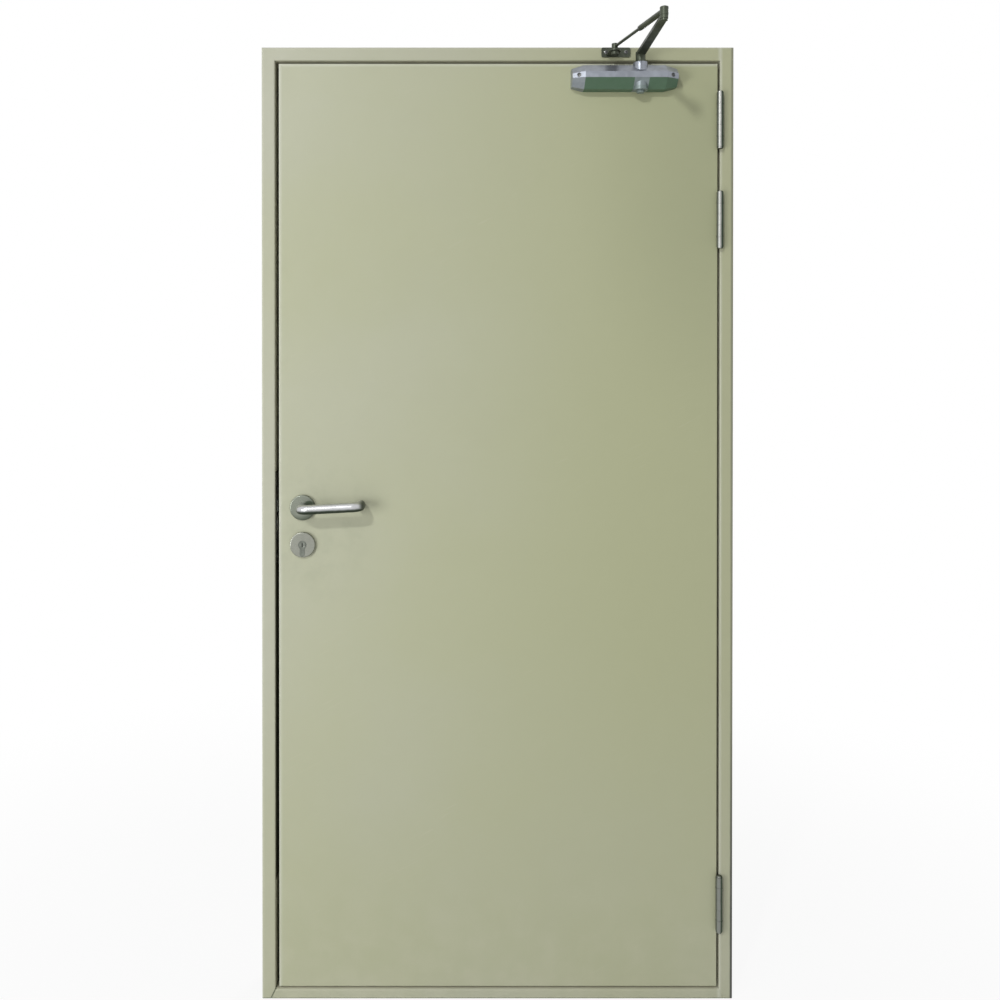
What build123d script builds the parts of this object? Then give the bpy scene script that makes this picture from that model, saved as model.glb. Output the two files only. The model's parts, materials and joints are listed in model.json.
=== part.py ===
from build123d import *
import math
import os

# Soundproof steel door: a flush insulated leaf in a four-sided pressed-steel frame,
# with three barrel hinges, a lever set, a cylinder lock and an overhead closer.
# Millimetres. X runs from the lock side to the hinge side, Y from the pull face
# into the wall, Z up. Pieces are drawn with the frame's front plane at Y = 0 and
# moved at the end so that the origin is the middle of the threshold's underside.

# Clearances: a fixed piece in its cut-out, a turning piece, and a shaft in its bore
FIT_CLEARANCE = 0.3
RUNNING_CLEARANCE = 0.3
SHAFT_CLEARANCE = 0.1

# Frame
FRAME_WIDTH = 990.0
FRAME_HEIGHT = 2000.0
FRAME_DEPTH = 110.0
FRAME_FACE = 28.0
FRAME_SHEET = 1.5
FRAME_BEND = 1.0
STOP_WIDTH = 18.0
WALL_LIP = 15.0

# Threshold
THRESHOLD_HEIGHT = 20.0
THRESHOLD_LIP = 15.0
THRESHOLD_PLATEAU = 20.0
THRESHOLD_REAR_HEIGHT = 12.0
THRESHOLD_NOSE = 5.0
THRESHOLD_BEND = 2.5
CORNER_RUN = 10.0
CORNER_JOINT = 1.0

# Wall fixings through the jambs
FIXING_COUNT = 4
FIXING_RADIUS = 5.5
FIXING_SPACING = 560.0

# Leaf
LEAF_THICKNESS = 50.0
LEAF_SKIN = 1.2
LEAF_BEND = 2.4
LOCK_GAP = 7.8
HINGE_GAP = 5.0
HEAD_GAP = 6.0
SILL_GAP = 5.0

# Seals
SEAL_ROOM = 8.0
SEAL_CLEARANCE = 0.3
SEAL_WIDTH = 10.0
SEAL_ROUND = 3.0
SEAL_INSET = 2.0
STRIP_THICKNESS = 1.0
STRIP_FRONT = 4.0
STRIP_REAR = 46.0
STRIP_BOTTOM = 248.0
STRIP_TOP = 1110.0
STRIP_CLEARANCE = 1.0

# Lock and cylinder
LEVER_HEIGHT = 1035.0
BACKSET = 50.0
CYLINDER_DROP = 78.0
DEAD_BOLT_DROP = 38.0
FOREND_LENGTH = 235.0
FOREND_WIDTH = 20.0
FOREND_THICKNESS = 3.0
FOREND_RISE = 90.0
CASE_LENGTH = 165.0
CASE_DEPTH = 80.0
CASE_THICKNESS = 15.0
CASE_RISE = 55.0
LATCH_HEIGHT = 20.0
LATCH_THICKNESS = 11.0
LATCH_LENGTH = 28.0
DEAD_BOLT_HEIGHT = 26.0
DEAD_BOLT_THICKNESS = 11.0
DEAD_BOLT_LENGTH = 32.0
SPINDLE_SIDE = 8.0
SPINDLE_HOLE = 13.0
CYLINDER_ROUND = 17.0
CYLINDER_WEB = 10.0
CYLINDER_TOTAL = 33.0
KEYWAY_WIDTH = 2.4
KEYWAY_HEIGHT = 9.0
KEYWAY_DEPTH = 5.0

# Strike plate
STRIKE_THICKNESS = 1.0
STRIKE_LENGTH = 190.0
STRIKE_WIDTH = 26.0
STRIKE_RISE = 70.0
STRIKE_ROUND = 6.0
STRIKE_HOLE_MARGIN = 2.0

# Roses and levers
ROSE_DIAMETER = 53.0
ROSE_THICKNESS = 8.0
ROSE_ROUND = 2.0
LEVER_DIAMETER = 19.6
LEVER_STANDOFF = 52.0
LEVER_REACH = 123.0
LEVER_BEND = 17.0
LEVER_END_GAP = 12.0
LEVER_TILT = 3.0
LEVER_NECK_GAP = 1.0
SPINDLE_GRIP = 24.0

# Hinges, placed from the leaf's top and bottom edges
UPPER_HINGE_DROP = 120.0
MIDDLE_HINGE_DROP = 328.5
LOWER_HINGE_RISE = 178.0
KNUCKLE_COUNT = 5
KNUCKLE_DIAMETER = 14.0
BARREL_LENGTH = 114.0
HINGE_PIN_DIAMETER = 7.0
HINGE_PLATE = 2.0
HINGE_PLATE_DEPTH = 36.0
BARREL_CLEARANCE = 0.5
KNUCKLE_GAP = 0.3
BEARING_RING = 2.4
BEARING_DIAMETER = 14.8
PIN_TIP_LENGTH = 3.0
PIN_TIP_DIAMETER = 12.0

# Closer, placed from the leaf's hinge edge and top edge
CLOSER_INSET = 90.0
CLOSER_LENGTH = 219.0
CLOSER_HEIGHT = 50.0
CLOSER_FRONT_HEIGHT = 12.0
CLOSER_DEPTH = 42.0
CLOSER_CHEEK = 20.0
CLOSER_CENTRE_DROP = 35.0
CLOSER_CAP = 25.0
CLOSER_CAP_TAPER = 0.74
CAP_RECESS_DIAMETER = 9.0
CAP_RECESS_DEPTH = 1.5
SPINDLE_INSET = 167.0
SPINDLE_STANDOFF = 21.0
CLOSER_BOSS_DIAMETER = 30.0
CLOSER_BOSS_RISE = 4.0
CLOSER_BOSS_FALL = 3.0
BOTTOM_CAP_DIAMETER = 16.0
BOTTOM_CAP_LENGTH = 5.0
SPINDLE_DIAMETER = 12.0
SPINDLE_DEPTH = 18.0

# Closer arms, placed from the frame's top and stacked upwards
ARM_DROP = 24.0
ARM_THICKNESS = 6.0
ARM_WIDTH = 18.0
ARM_TIP_WIDTH = 15.0
ARM_LENGTH = 206.0
ARM_HUB_DIAMETER = 20.0
ELBOW_NUT_DIAMETER = 13.0
ELBOW_NUT_LENGTH = 4.0
FOREARM_RISE = 9.0
FOREARM_TUBE_DIAMETER = 11.0
FOREARM_TUBE_SHARE = 0.45
FOREARM_ROD_DIAMETER = 6.0
ROD_GRIP = 12.0
ELBOW_EYE_DIAMETER = 16.0
ELBOW_EYE_PROUD = 0.8
ELBOW_HEAD_DIAMETER = 12.0
ELBOW_HEAD_HEIGHT = 2.4

# Closer shoe on the head
PIVOT_OFFSET = 55.0
PIVOT_STANDOFF = 30.0
SHOE_REACH = 22.5
SHOE_LENGTH = 60.0
SHOE_RISE = 6.5
SHOE_HEIGHT = 20.0
SHOE_PLATE = 3.0
SHOE_FLANGE_WIDTH = 24.0
SHOE_FLANGE_RISE = 2.5
SHOE_BOSS_DIAMETER = 16.0
SHOE_BOSS_DROP = 7.0
SHOE_PIN_DIAMETER = 6.0
SHOE_SCREW_DIAMETER = 8.0
SHOE_SCREW_HEAD = 1.6
SHOE_SCREW_INSET = 9.0
ROD_EYE_DIAMETER = 13.0
ROD_EYE_HEIGHT = 8.0
PIN_HEAD_HEIGHT = 1.5

# Places worked out from the sizes above
HALF_WIDTH = FRAME_WIDTH / 2
OPENING_HALF = HALF_WIDTH - FRAME_FACE
STOP_HALF = OPENING_HALF - STOP_WIDTH
HEAD_UNDERSIDE = FRAME_HEIGHT - FRAME_FACE
REBATE = LEAF_THICKNESS + SEAL_ROOM
PROFILE_WIDTH = FRAME_FACE + STOP_WIDTH
LEAF_LEFT = -OPENING_HALF + LOCK_GAP
LEAF_RIGHT = OPENING_HALF - HINGE_GAP
LEAF_BOTTOM = THRESHOLD_HEIGHT + SILL_GAP
LEAF_TOP = HEAD_UNDERSIDE - HEAD_GAP
LOCK_AXIS = LEAF_LEFT + BACKSET
CYLINDER_HEIGHT = LEVER_HEIGHT - CYLINDER_DROP
DEAD_BOLT_Z = LEVER_HEIGHT - DEAD_BOLT_DROP
LEAF_MIDDLE = LEAF_THICKNESS / 2
HINGE_HEIGHTS = {
    "lower": LEAF_BOTTOM + LOWER_HINGE_RISE,
    "middle": LEAF_TOP - MIDDLE_HINGE_DROP,
    "upper": LEAF_TOP - UPPER_HINGE_DROP,
}
HINGE_X = (LEAF_RIGHT + OPENING_HALF) / 2
HINGE_Y = -(KNUCKLE_DIAMETER / 2 + BARREL_CLEARANCE)
CLOSER_RIGHT = LEAF_RIGHT - CLOSER_INSET
CLOSER_LEFT = CLOSER_RIGHT - CLOSER_LENGTH
CLOSER_Z = LEAF_TOP - CLOSER_CENTRE_DROP
CLOSER_TOP = CLOSER_Z + CLOSER_HEIGHT / 2
CLOSER_BOTTOM = CLOSER_Z - CLOSER_HEIGHT / 2
BOSS_TOP = CLOSER_TOP + CLOSER_BOSS_RISE
ARM_UNDERSIDE = FRAME_HEIGHT - ARM_DROP
ARM_TOP = ARM_UNDERSIDE + ARM_THICKNESS
FOREARM_HEIGHT = ARM_TOP + FOREARM_RISE
ELBOW_EYE_TOP = FOREARM_HEIGHT + FOREARM_TUBE_DIAMETER / 2 + ELBOW_EYE_PROUD
SPINDLE_X = LEAF_RIGHT - SPINDLE_INSET
PIVOT_X = SPINDLE_X - PIVOT_OFFSET
SPINDLE_POINT = (SPINDLE_X, -SPINDLE_STANDOFF)
ELBOW_POINT = (SPINDLE_X, -SPINDLE_STANDOFF - ARM_LENGTH)
PIVOT_POINT = (PIVOT_X, -PIVOT_STANDOFF)
SHOE_LEFT = PIVOT_X - SHOE_REACH
SHOE_BOTTOM = HEAD_UNDERSIDE + SHOE_RISE
SHOE_FLANGE_Z = SHOE_BOTTOM + SHOE_FLANGE_RISE
MARGIN = 5.0

ALONG_Y = (0, 1, 0)
UP = (0, 0, 1)


def box(x0, x1, y0, y1, z0, z1):
    """A block between two corners."""
    size = Box(x1 - x0, y1 - y0, z1 - z0, align=(Align.MIN, Align.MIN, Align.MIN))
    return Pos(x0, y0, z0) * size


def upright(point, diameter, z0, z1):
    """A vertical cylinder on a point of the plan."""
    post = Cylinder(diameter / 2, z1 - z0, align=(Align.CENTER, Align.CENTER, Align.MIN))
    return Pos(point[0], point[1], z0) * post


def crosswise(x, z, diameter, y0, y1):
    """A cylinder that runs through the door's thickness."""
    face = Plane.XZ * Pos(x, z) * Circle(diameter / 2)
    return Pos(0, y0, 0) * extrude(face, amount=y1 - y0, dir=ALONG_Y)


def wedge(points, y0, y1):
    """A prism through the door's thickness, from an outline of (x, z) points."""
    face = Plane.XZ * make_face(Polyline(*points, close=True))
    return Pos(0, y0, 0) * extrude(face, amount=y1 - y0, dir=ALONG_Y)


def folded_sheet(path_points):
    """The section of a bent sheet whose middle follows the given points."""
    path = FilletPolyline(*path_points, radius=FRAME_BEND + FRAME_SHEET / 2)
    return trace(path, FRAME_SHEET)


# Frame pieces
def frame_path():
    """Middle line of the frame sheet, as (distance in from the wall edge, depth)."""
    half = FRAME_SHEET / 2
    return [
        (half, WALL_LIP),
        (half, half),
        (FRAME_FACE - half, half),
        (FRAME_FACE - half, REBATE + half),
        (PROFILE_WIDTH - half, REBATE + half),
        (PROFILE_WIDTH - half, FRAME_DEPTH - half),
        (half, FRAME_DEPTH - half),
        (half, FRAME_DEPTH - WALL_LIP),
    ]


def mitre_block(side, above):
    """The half of an upper corner on one side of the mitre: above it or below it."""
    reach = PROFILE_WIDTH + MARGIN
    outer = (side * (HALF_WIDTH + MARGIN), FRAME_HEIGHT + MARGIN)
    inner = (side * (HALF_WIDTH - reach), FRAME_HEIGHT - reach)
    third = (inner[0], outer[1]) if above else (outer[0], inner[1])
    return wedge([outer, inner, third], -MARGIN, FRAME_DEPTH + MARGIN)


def foot_mitre(side, joint):
    """The slanted block at a jamb's foot that the threshold's end fills."""
    slope = math.hypot(CORNER_RUN, THRESHOLD_HEIGHT) / THRESHOLD_HEIGHT
    shift = joint * slope
    top = OPENING_HALF - shift
    foot = top + CORNER_RUN * (THRESHOLD_HEIGHT + MARGIN) / THRESHOLD_HEIGHT
    points = [
        (side * (OPENING_HALF - MARGIN), -MARGIN),
        (side * foot, -MARGIN),
        (side * top, THRESHOLD_HEIGHT),
        (side * (OPENING_HALF - MARGIN), THRESHOLD_HEIGHT),
    ]
    return wedge(points, -MARGIN, REBATE)


def fixing_heights():
    """Heights of the wall fixings, evenly spaced about their middle."""
    first = -(FIXING_COUNT - 1) / 2
    middle = FRAME_HEIGHT / 2
    return [middle + (first + index) * FIXING_SPACING for index in range(FIXING_COUNT)]


def jamb(side):
    """A pressed jamb: side is -1 at the lock and 1 at the hinges."""
    points = [(side * (HALF_WIDTH - inward), depth) for inward, depth in frame_path()]
    body = extrude(folded_sheet(points), amount=FRAME_HEIGHT, dir=UP)
    body -= mitre_block(side, True)
    body -= foot_mitre(side, 0)
    depth = (REBATE + FRAME_DEPTH) / 2
    for height in fixing_heights():
        drill = Cylinder(FIXING_RADIUS, 4 * FRAME_SHEET, rotation=(0, 90, 0))
        body -= Pos(side * (STOP_HALF + FRAME_SHEET / 2), depth, height) * drill
    return body


def lock_jamb():
    """The lock jamb, with the two holes that the bolts enter."""
    body = jamb(-1)
    for hole in strike_holes():
        body -= hole
    return body


def frame_head():
    """The head, mitred to both jambs."""
    points = [(depth, FRAME_HEIGHT - inward) for inward, depth in frame_path()]
    section = Plane.YZ * folded_sheet(points)
    body = extrude(section, amount=HALF_WIDTH, both=True)
    for side in (-1, 1):
        body -= mitre_block(side, False)
    return body


def threshold():
    """A closed hollow sill with a raised stop behind the leaf and a sloping rear."""
    stop_top = THRESHOLD_HEIGHT + THRESHOLD_LIP
    outline = make_face(Polyline(
        (0, 0),
        (0, THRESHOLD_HEIGHT),
        (REBATE, THRESHOLD_HEIGHT),
        (REBATE, stop_top),
        (REBATE + THRESHOLD_PLATEAU, stop_top),
        (FRAME_DEPTH, THRESHOLD_REAR_HEIGHT),
        (FRAME_DEPTH, 0),
        close=True,
    ))
    nosing = outline.vertices().sort_by_distance((0, THRESHOLD_HEIGHT, 0))[0]
    outline = fillet(nosing, THRESHOLD_NOSE)
    ridge = outline.vertices().sort_by_distance((REBATE, stop_top, 0))[0]
    outline = fillet(ridge, THRESHOLD_BEND)
    section = outline - offset(outline, amount=-FRAME_SHEET, kind=Kind.INTERSECTION)
    body = extrude(Plane.YZ * section, amount=OPENING_HALF + CORNER_RUN, both=True)
    for side in (-1, 1):
        edges = sorted((side * STOP_HALF, side * (HALF_WIDTH + MARGIN)))
        body -= box(edges[0], edges[1], REBATE, FRAME_DEPTH + MARGIN, -MARGIN, stop_top + MARGIN)
        end = sorted((side * (OPENING_HALF - MARGIN), side * (HALF_WIDTH + MARGIN)))
        block = box(end[0], end[1], -MARGIN, REBATE, -MARGIN, THRESHOLD_HEIGHT + MARGIN)
        body -= block - foot_mitre(side, CORNER_JOINT)
    return body


# Seals
def seal_section():
    """A seal section: a flat foot on the stop and a rounded nose towards the leaf."""
    nose = SEAL_ROOM - SEAL_CLEARANCE
    outline = Pos(0, -nose / 2) * Rectangle(SEAL_WIDTH, nose)
    return fillet(outline.vertices().sort_by(Axis.Y)[:2], SEAL_ROUND)


def seal_middle_x(side):
    """Middle of a jamb's seal, set back from the stop's inner edge."""
    return side * (STOP_HALF + SEAL_INSET + SEAL_WIDTH / 2)


def head_seal_middle():
    """Height of the head seal's middle."""
    return HEAD_UNDERSIDE - STOP_WIDTH + SEAL_INSET + SEAL_WIDTH / 2


def threshold_seal_middle():
    """Height of the threshold seal's middle."""
    return THRESHOLD_HEIGHT + THRESHOLD_LIP - SEAL_INSET - SEAL_WIDTH / 2


def jamb_seal(side):
    """The seal up a jamb's stop, between the threshold's and the head's."""
    z0 = threshold_seal_middle() + SEAL_WIDTH / 2
    z1 = head_seal_middle() - SEAL_WIDTH / 2
    section = Pos(seal_middle_x(side), REBATE, z0) * seal_section()
    return extrude(section, amount=z1 - z0, dir=UP)


def cross_seal(height):
    """A seal across the opening, at the head or the threshold."""
    reach = seal_middle_x(1) + SEAL_WIDTH / 2
    across = Plane(origin=(0, REBATE, height), x_dir=UP, z_dir=(-1, 0, 0))
    return extrude(across * seal_section(), amount=reach, both=True)


def edge_seal_strip():
    """The thin black strip on the lock jamb's rebate wall, open round the strike."""
    wall = -OPENING_HALF
    strip = box(wall, wall + STRIP_THICKNESS, STRIP_FRONT, STRIP_REAR, STRIP_BOTTOM, STRIP_TOP)
    bottom, top = strike_ends()
    front = LEAF_MIDDLE - STRIKE_WIDTH / 2 - STRIP_CLEARANCE
    rear = LEAF_MIDDLE + STRIKE_WIDTH / 2 + STRIP_CLEARANCE
    window = box(wall - MARGIN, wall + MARGIN, front, rear, bottom - STRIP_CLEARANCE,
                 min(top + STRIP_CLEARANCE, STRIP_TOP - STRIP_CLEARANCE))
    return strip - window


# Lock
def strike_ends():
    """Lower and upper ends of the strike plate."""
    top = LEVER_HEIGHT + STRIKE_RISE
    return top - STRIKE_LENGTH, top


def strike_holes():
    """The blocks cut for the latch and the dead bolt."""
    sizes = (
        (LEVER_HEIGHT, LATCH_HEIGHT, LATCH_THICKNESS),
        (DEAD_BOLT_Z, DEAD_BOLT_HEIGHT, DEAD_BOLT_THICKNESS),
    )
    holes = []
    for middle, height, thickness in sizes:
        half_z = height / 2 + STRIKE_HOLE_MARGIN
        half_y = thickness / 2 + STRIKE_HOLE_MARGIN
        holes.append(box(-OPENING_HALF - MARGIN, -OPENING_HALF + MARGIN, LEAF_MIDDLE - half_y,
                         LEAF_MIDDLE + half_y, middle - half_z, middle + half_z))
    return holes


def strike_plate():
    """The thin strike on the jamb's rebate wall."""
    bottom, top = strike_ends()
    plate = box(-OPENING_HALF, -OPENING_HALF + STRIKE_THICKNESS, LEAF_MIDDLE - STRIKE_WIDTH / 2,
                LEAF_MIDDLE + STRIKE_WIDTH / 2, bottom, top)
    plate = fillet(plate.edges().filter_by(Axis.X), STRIKE_ROUND)
    for hole in strike_holes():
        plate -= hole
    return plate


def euro_profile(clearance):
    """The cylinder's keyhole-shaped section, round above and webbed below."""
    round_part = Circle(CYLINDER_ROUND / 2 + clearance)
    drop = CYLINDER_TOTAL - CYLINDER_ROUND / 2 - CYLINDER_WEB / 2
    web = Pos(0, -drop / 2) * Rectangle(CYLINDER_WEB + 2 * clearance, drop)
    foot = Pos(0, -drop) * Circle(CYLINDER_WEB / 2 + clearance)
    return round_part + web + foot


def cylinder_block(clearance, y0, y1):
    """The cylinder's section run through the door's thickness."""
    face = Plane.XZ * Pos(LOCK_AXIS, CYLINDER_HEIGHT) * euro_profile(clearance)
    return Pos(0, y0, 0) * extrude(face, amount=y1 - y0, dir=ALONG_Y)


def bolt_block(middle, height, thickness, length, clearance):
    """A bolt drawn back flush with the forend, or the pocket it slides in."""
    front = LEAF_LEFT if clearance == 0 else LEAF_LEFT - MARGIN
    return box(front, LEAF_LEFT + length + clearance,
               LEAF_MIDDLE - thickness / 2 - clearance, LEAF_MIDDLE + thickness / 2 + clearance,
               middle - height / 2 - clearance, middle + height / 2 + clearance)


def latch_bolt(clearance=0):
    """The latch bolt, in line with the lever."""
    return bolt_block(LEVER_HEIGHT, LATCH_HEIGHT, LATCH_THICKNESS, LATCH_LENGTH, clearance)


def dead_bolt(clearance=0):
    """The dead bolt, between the lever and the cylinder."""
    return bolt_block(DEAD_BOLT_Z, DEAD_BOLT_HEIGHT, DEAD_BOLT_THICKNESS, DEAD_BOLT_LENGTH,
                      clearance)


def forend_block(clearance):
    """The forend plate, or the window in the leaf's edge that it lies in."""
    top = LEVER_HEIGHT + FOREND_RISE + clearance
    bottom = LEVER_HEIGHT + FOREND_RISE - FOREND_LENGTH - clearance
    half = FOREND_WIDTH / 2 + clearance
    front = LEAF_LEFT if clearance == 0 else LEAF_LEFT - MARGIN
    return box(front, LEAF_LEFT + FOREND_THICKNESS, LEAF_MIDDLE - half, LEAF_MIDDLE + half,
               bottom, top)


def case_block():
    """The outer block of the mortice lock's case."""
    top = LEVER_HEIGHT + CASE_RISE
    return box(LEAF_LEFT + FOREND_THICKNESS, LEAF_LEFT + CASE_DEPTH,
               LEAF_MIDDLE - CASE_THICKNESS / 2, LEAF_MIDDLE + CASE_THICKNESS / 2,
               top - CASE_LENGTH, top)


def mortice_lock():
    """The lock's forend and case, with its bolt pockets and through holes."""
    body = forend_block(0) + case_block()
    body -= latch_bolt(FIT_CLEARANCE)
    body -= dead_bolt(FIT_CLEARANCE)
    body -= crosswise(LOCK_AXIS, LEVER_HEIGHT, SPINDLE_HOLE, 0, LEAF_THICKNESS)
    body -= cylinder_block(FIT_CLEARANCE, 0, LEAF_THICKNESS)
    return body


def lock_cylinder():
    """The profile cylinder, flush with both escutcheons, with a keyway at each end."""
    front = -ROSE_THICKNESS
    rear = LEAF_THICKNESS + ROSE_THICKNESS
    body = cylinder_block(0, front, rear)
    for y0, y1 in ((front, front + KEYWAY_DEPTH), (rear - KEYWAY_DEPTH, rear)):
        body -= box(LOCK_AXIS - KEYWAY_WIDTH / 2, LOCK_AXIS + KEYWAY_WIDTH / 2, y0, y1,
                    CYLINDER_HEIGHT - KEYWAY_HEIGHT / 2, CYLINDER_HEIGHT + KEYWAY_HEIGHT / 2)
    return body


# Leaf
def leaf_bores():
    """The lever's and the cylinder's holes, through the whole leaf."""
    spindle = crosswise(LOCK_AXIS, LEVER_HEIGHT, SPINDLE_HOLE, -MARGIN, LEAF_THICKNESS + MARGIN)
    cylinder = cylinder_block(FIT_CLEARANCE, -MARGIN, LEAF_THICKNESS + MARGIN)
    return [spindle, cylinder]


def front_skin():
    """The leaf's front sheet with its four edges turned back."""
    pan = box(LEAF_LEFT, LEAF_RIGHT, 0, LEAF_THICKNESS, LEAF_BOTTOM, LEAF_TOP)
    pan = fillet(pan.faces().sort_by(Axis.Y)[0].edges(), LEAF_BEND)
    hollow = box(LEAF_LEFT + LEAF_SKIN, LEAF_RIGHT - LEAF_SKIN, LEAF_SKIN,
                 LEAF_THICKNESS + MARGIN, LEAF_BOTTOM + LEAF_SKIN, LEAF_TOP - LEAF_SKIN)
    hollow = fillet(hollow.faces().sort_by(Axis.Y)[0].edges(), LEAF_BEND - LEAF_SKIN)
    pan -= hollow
    for bore in leaf_bores():
        pan -= bore
    return pan - forend_block(FIT_CLEARANCE)


def rear_skin():
    """The leaf's flat rear sheet, let in between the turned edges."""
    sheet = box(LEAF_LEFT + LEAF_SKIN, LEAF_RIGHT - LEAF_SKIN, LEAF_THICKNESS - LEAF_SKIN,
                LEAF_THICKNESS, LEAF_BOTTOM + LEAF_SKIN, LEAF_TOP - LEAF_SKIN)
    for bore in leaf_bores():
        sheet -= bore
    return sheet


def acoustic_core():
    """The sound-absorbing filling, cut out for the lock."""
    core = box(LEAF_LEFT + LEAF_SKIN, LEAF_RIGHT - LEAF_SKIN, LEAF_SKIN,
               LEAF_THICKNESS - LEAF_SKIN, LEAF_BOTTOM + LEAF_SKIN, LEAF_TOP - LEAF_SKIN)
    core = fillet(core.faces().sort_by(Axis.Y)[0].edges(), LEAF_BEND - LEAF_SKIN)
    for bore in leaf_bores():
        core -= bore
    return core - forend_block(FIT_CLEARANCE) - case_block()


# Roses and levers
def rose(height):
    """A round cover on the leaf's front face."""
    disc = crosswise(LOCK_AXIS, height, ROSE_DIAMETER, -ROSE_THICKNESS, 0)
    return fillet(disc.faces().sort_by(Axis.Y)[0].edges(), ROSE_ROUND)


def front_handle_rose():
    """The cover that the lever's neck turns in."""
    bore = LEVER_DIAMETER + 2 * RUNNING_CLEARANCE
    return rose(LEVER_HEIGHT) - crosswise(LOCK_AXIS, LEVER_HEIGHT, bore, -LEVER_STANDOFF, 0)


def front_cylinder_rose():
    """The cover round the cylinder."""
    return rose(CYLINDER_HEIGHT) - cylinder_block(FIT_CLEARANCE, -LEVER_STANDOFF, 0)


def to_rear(piece):
    """The same piece on the leaf's other face."""
    return Pos(0, LEAF_MIDDLE, 0) * mirror(Pos(0, -LEAF_MIDDLE, 0) * piece, about=Plane.XZ)


def spindle_bar(y0, y1):
    """A length of the square bar between the levers."""
    half = SPINDLE_SIDE / 2
    return box(LOCK_AXIS - half, LOCK_AXIS + half, y0, y1, LEVER_HEIGHT - half,
               LEVER_HEIGHT + half)


def front_lever():
    """A round bar out from the leaf, along it and back towards it."""
    path = FilletPolyline(
        (0, -LEVER_NECK_GAP, 0),
        (0, -LEVER_STANDOFF, 0),
        (LEVER_REACH, -LEVER_STANDOFF, 0),
        (LEVER_REACH, -LEVER_END_GAP, 0),
        radius=LEVER_BEND,
    )
    start = Plane(origin=path @ 0, z_dir=path % 0)
    bar = sweep(start * Circle(LEVER_DIAMETER / 2), path=path)
    placed = Pos(LOCK_AXIS, 0, LEVER_HEIGHT) * Rot(0, -LEVER_TILT, 0) * bar
    return placed - spindle_bar(-SPINDLE_GRIP, 0)


def lever_spindle():
    """The square bar that joins the two levers through the lock."""
    return spindle_bar(-SPINDLE_GRIP, LEAF_THICKNESS + SPINDLE_GRIP)


# Hinges
def knuckles(height, first):
    """The lower and upper end of every second knuckle of a barrel, from a given one."""
    pitch = BARREL_LENGTH / KNUCKLE_COUNT
    start = height - BARREL_LENGTH / 2
    spans = []
    for index in range(first, KNUCKLE_COUNT, 2):
        low = start + index * pitch + knuckle_room(index)
        high = start + (index + 1) * pitch - knuckle_room(index + 1)
        spans.append((low, high))
    return spans


def knuckle_room(joint):
    """Half the space at a joint: a bearing ring next to the end knuckles, else a gap."""
    if joint in (0, KNUCKLE_COUNT):
        return 0
    if joint in (1, KNUCKLE_COUNT - 1):
        return BEARING_RING / 2 + KNUCKLE_GAP
    return KNUCKLE_GAP / 2


def hinge_half(height, side):
    """A hinge plate with its knuckles: side is -1 on the leaf and 1 on the jamb."""
    wall = OPENING_HALF if side > 0 else LEAF_RIGHT
    edges = sorted((wall, wall - side * HINGE_PLATE))
    half = BARREL_LENGTH / 2
    body = box(edges[0], edges[1], BARREL_CLEARANCE, HINGE_PLATE_DEPTH, height - half,
               height + half)
    axis = (HINGE_X, HINGE_Y)
    for low, high in knuckles(height, 0 if side > 0 else 1):
        body += upright(axis, KNUCKLE_DIAMETER, low, high)
        body += box(edges[0], edges[1], HINGE_Y + KNUCKLE_DIAMETER / 2 - HINGE_PLATE,
                    BARREL_CLEARANCE, low, high)
    bore = HINGE_PIN_DIAMETER + 2 * SHAFT_CLEARANCE
    return body - upright(axis, bore, height - half - MARGIN, height + half + MARGIN)


def hinge_pin(height):
    """A pin with a button at each end and a bearing ring inside each end knuckle."""
    axis = (HINGE_X, HINGE_Y)
    half = BARREL_LENGTH / 2
    pin = upright(axis, HINGE_PIN_DIAMETER, height - half, height + half)
    for side in (-1, 1):
        tip = sorted((height + side * half, height + side * (half + PIN_TIP_LENGTH)))
        button = upright(axis, PIN_TIP_DIAMETER, tip[0], tip[1])
        outer = button.faces().sort_by(Axis.Z)[-1 if side > 0 else 0]
        pin += fillet(outer.edges(), PIN_TIP_LENGTH / 2)
        joint = height + side * (half - BARREL_LENGTH / KNUCKLE_COUNT)
        pin += upright(axis, BEARING_DIAMETER, joint - BEARING_RING / 2, joint + BEARING_RING / 2)
    return pin


# Closer
def closer_section():
    """The closer's outline from its back on the leaf: (y, z) with bevelled front edges."""
    half = CLOSER_HEIGHT / 2
    front = CLOSER_FRONT_HEIGHT / 2
    return make_face(Polyline(
        (0, -half),
        (-CLOSER_CHEEK, -half),
        (-CLOSER_DEPTH, -front),
        (-CLOSER_DEPTH, front),
        (-CLOSER_CHEEK, half),
        (0, half),
        close=True,
    ))


def closer_face(x, scale_factor):
    """The closer's outline at a place along it."""
    outline = scale(closer_section(), by=(scale_factor, scale_factor, 1))
    return Plane.YZ * Pos(0, CLOSER_Z, x) * outline


def closer_body():
    """The bevelled housing with the round boss that holds the spindle."""
    length = CLOSER_LENGTH - 2 * CLOSER_CAP
    body = extrude(closer_face(CLOSER_LEFT + CLOSER_CAP, 1), amount=length, dir=(1, 0, 0))
    body += upright(SPINDLE_POINT, CLOSER_BOSS_DIAMETER, CLOSER_BOTTOM - CLOSER_BOSS_FALL, BOSS_TOP)
    bore = SPINDLE_DIAMETER + 2 * SHAFT_CLEARANCE
    return body - upright(SPINDLE_POINT, bore, BOSS_TOP - SPINDLE_DEPTH - RUNNING_CLEARANCE,
                          BOSS_TOP + MARGIN)


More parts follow.
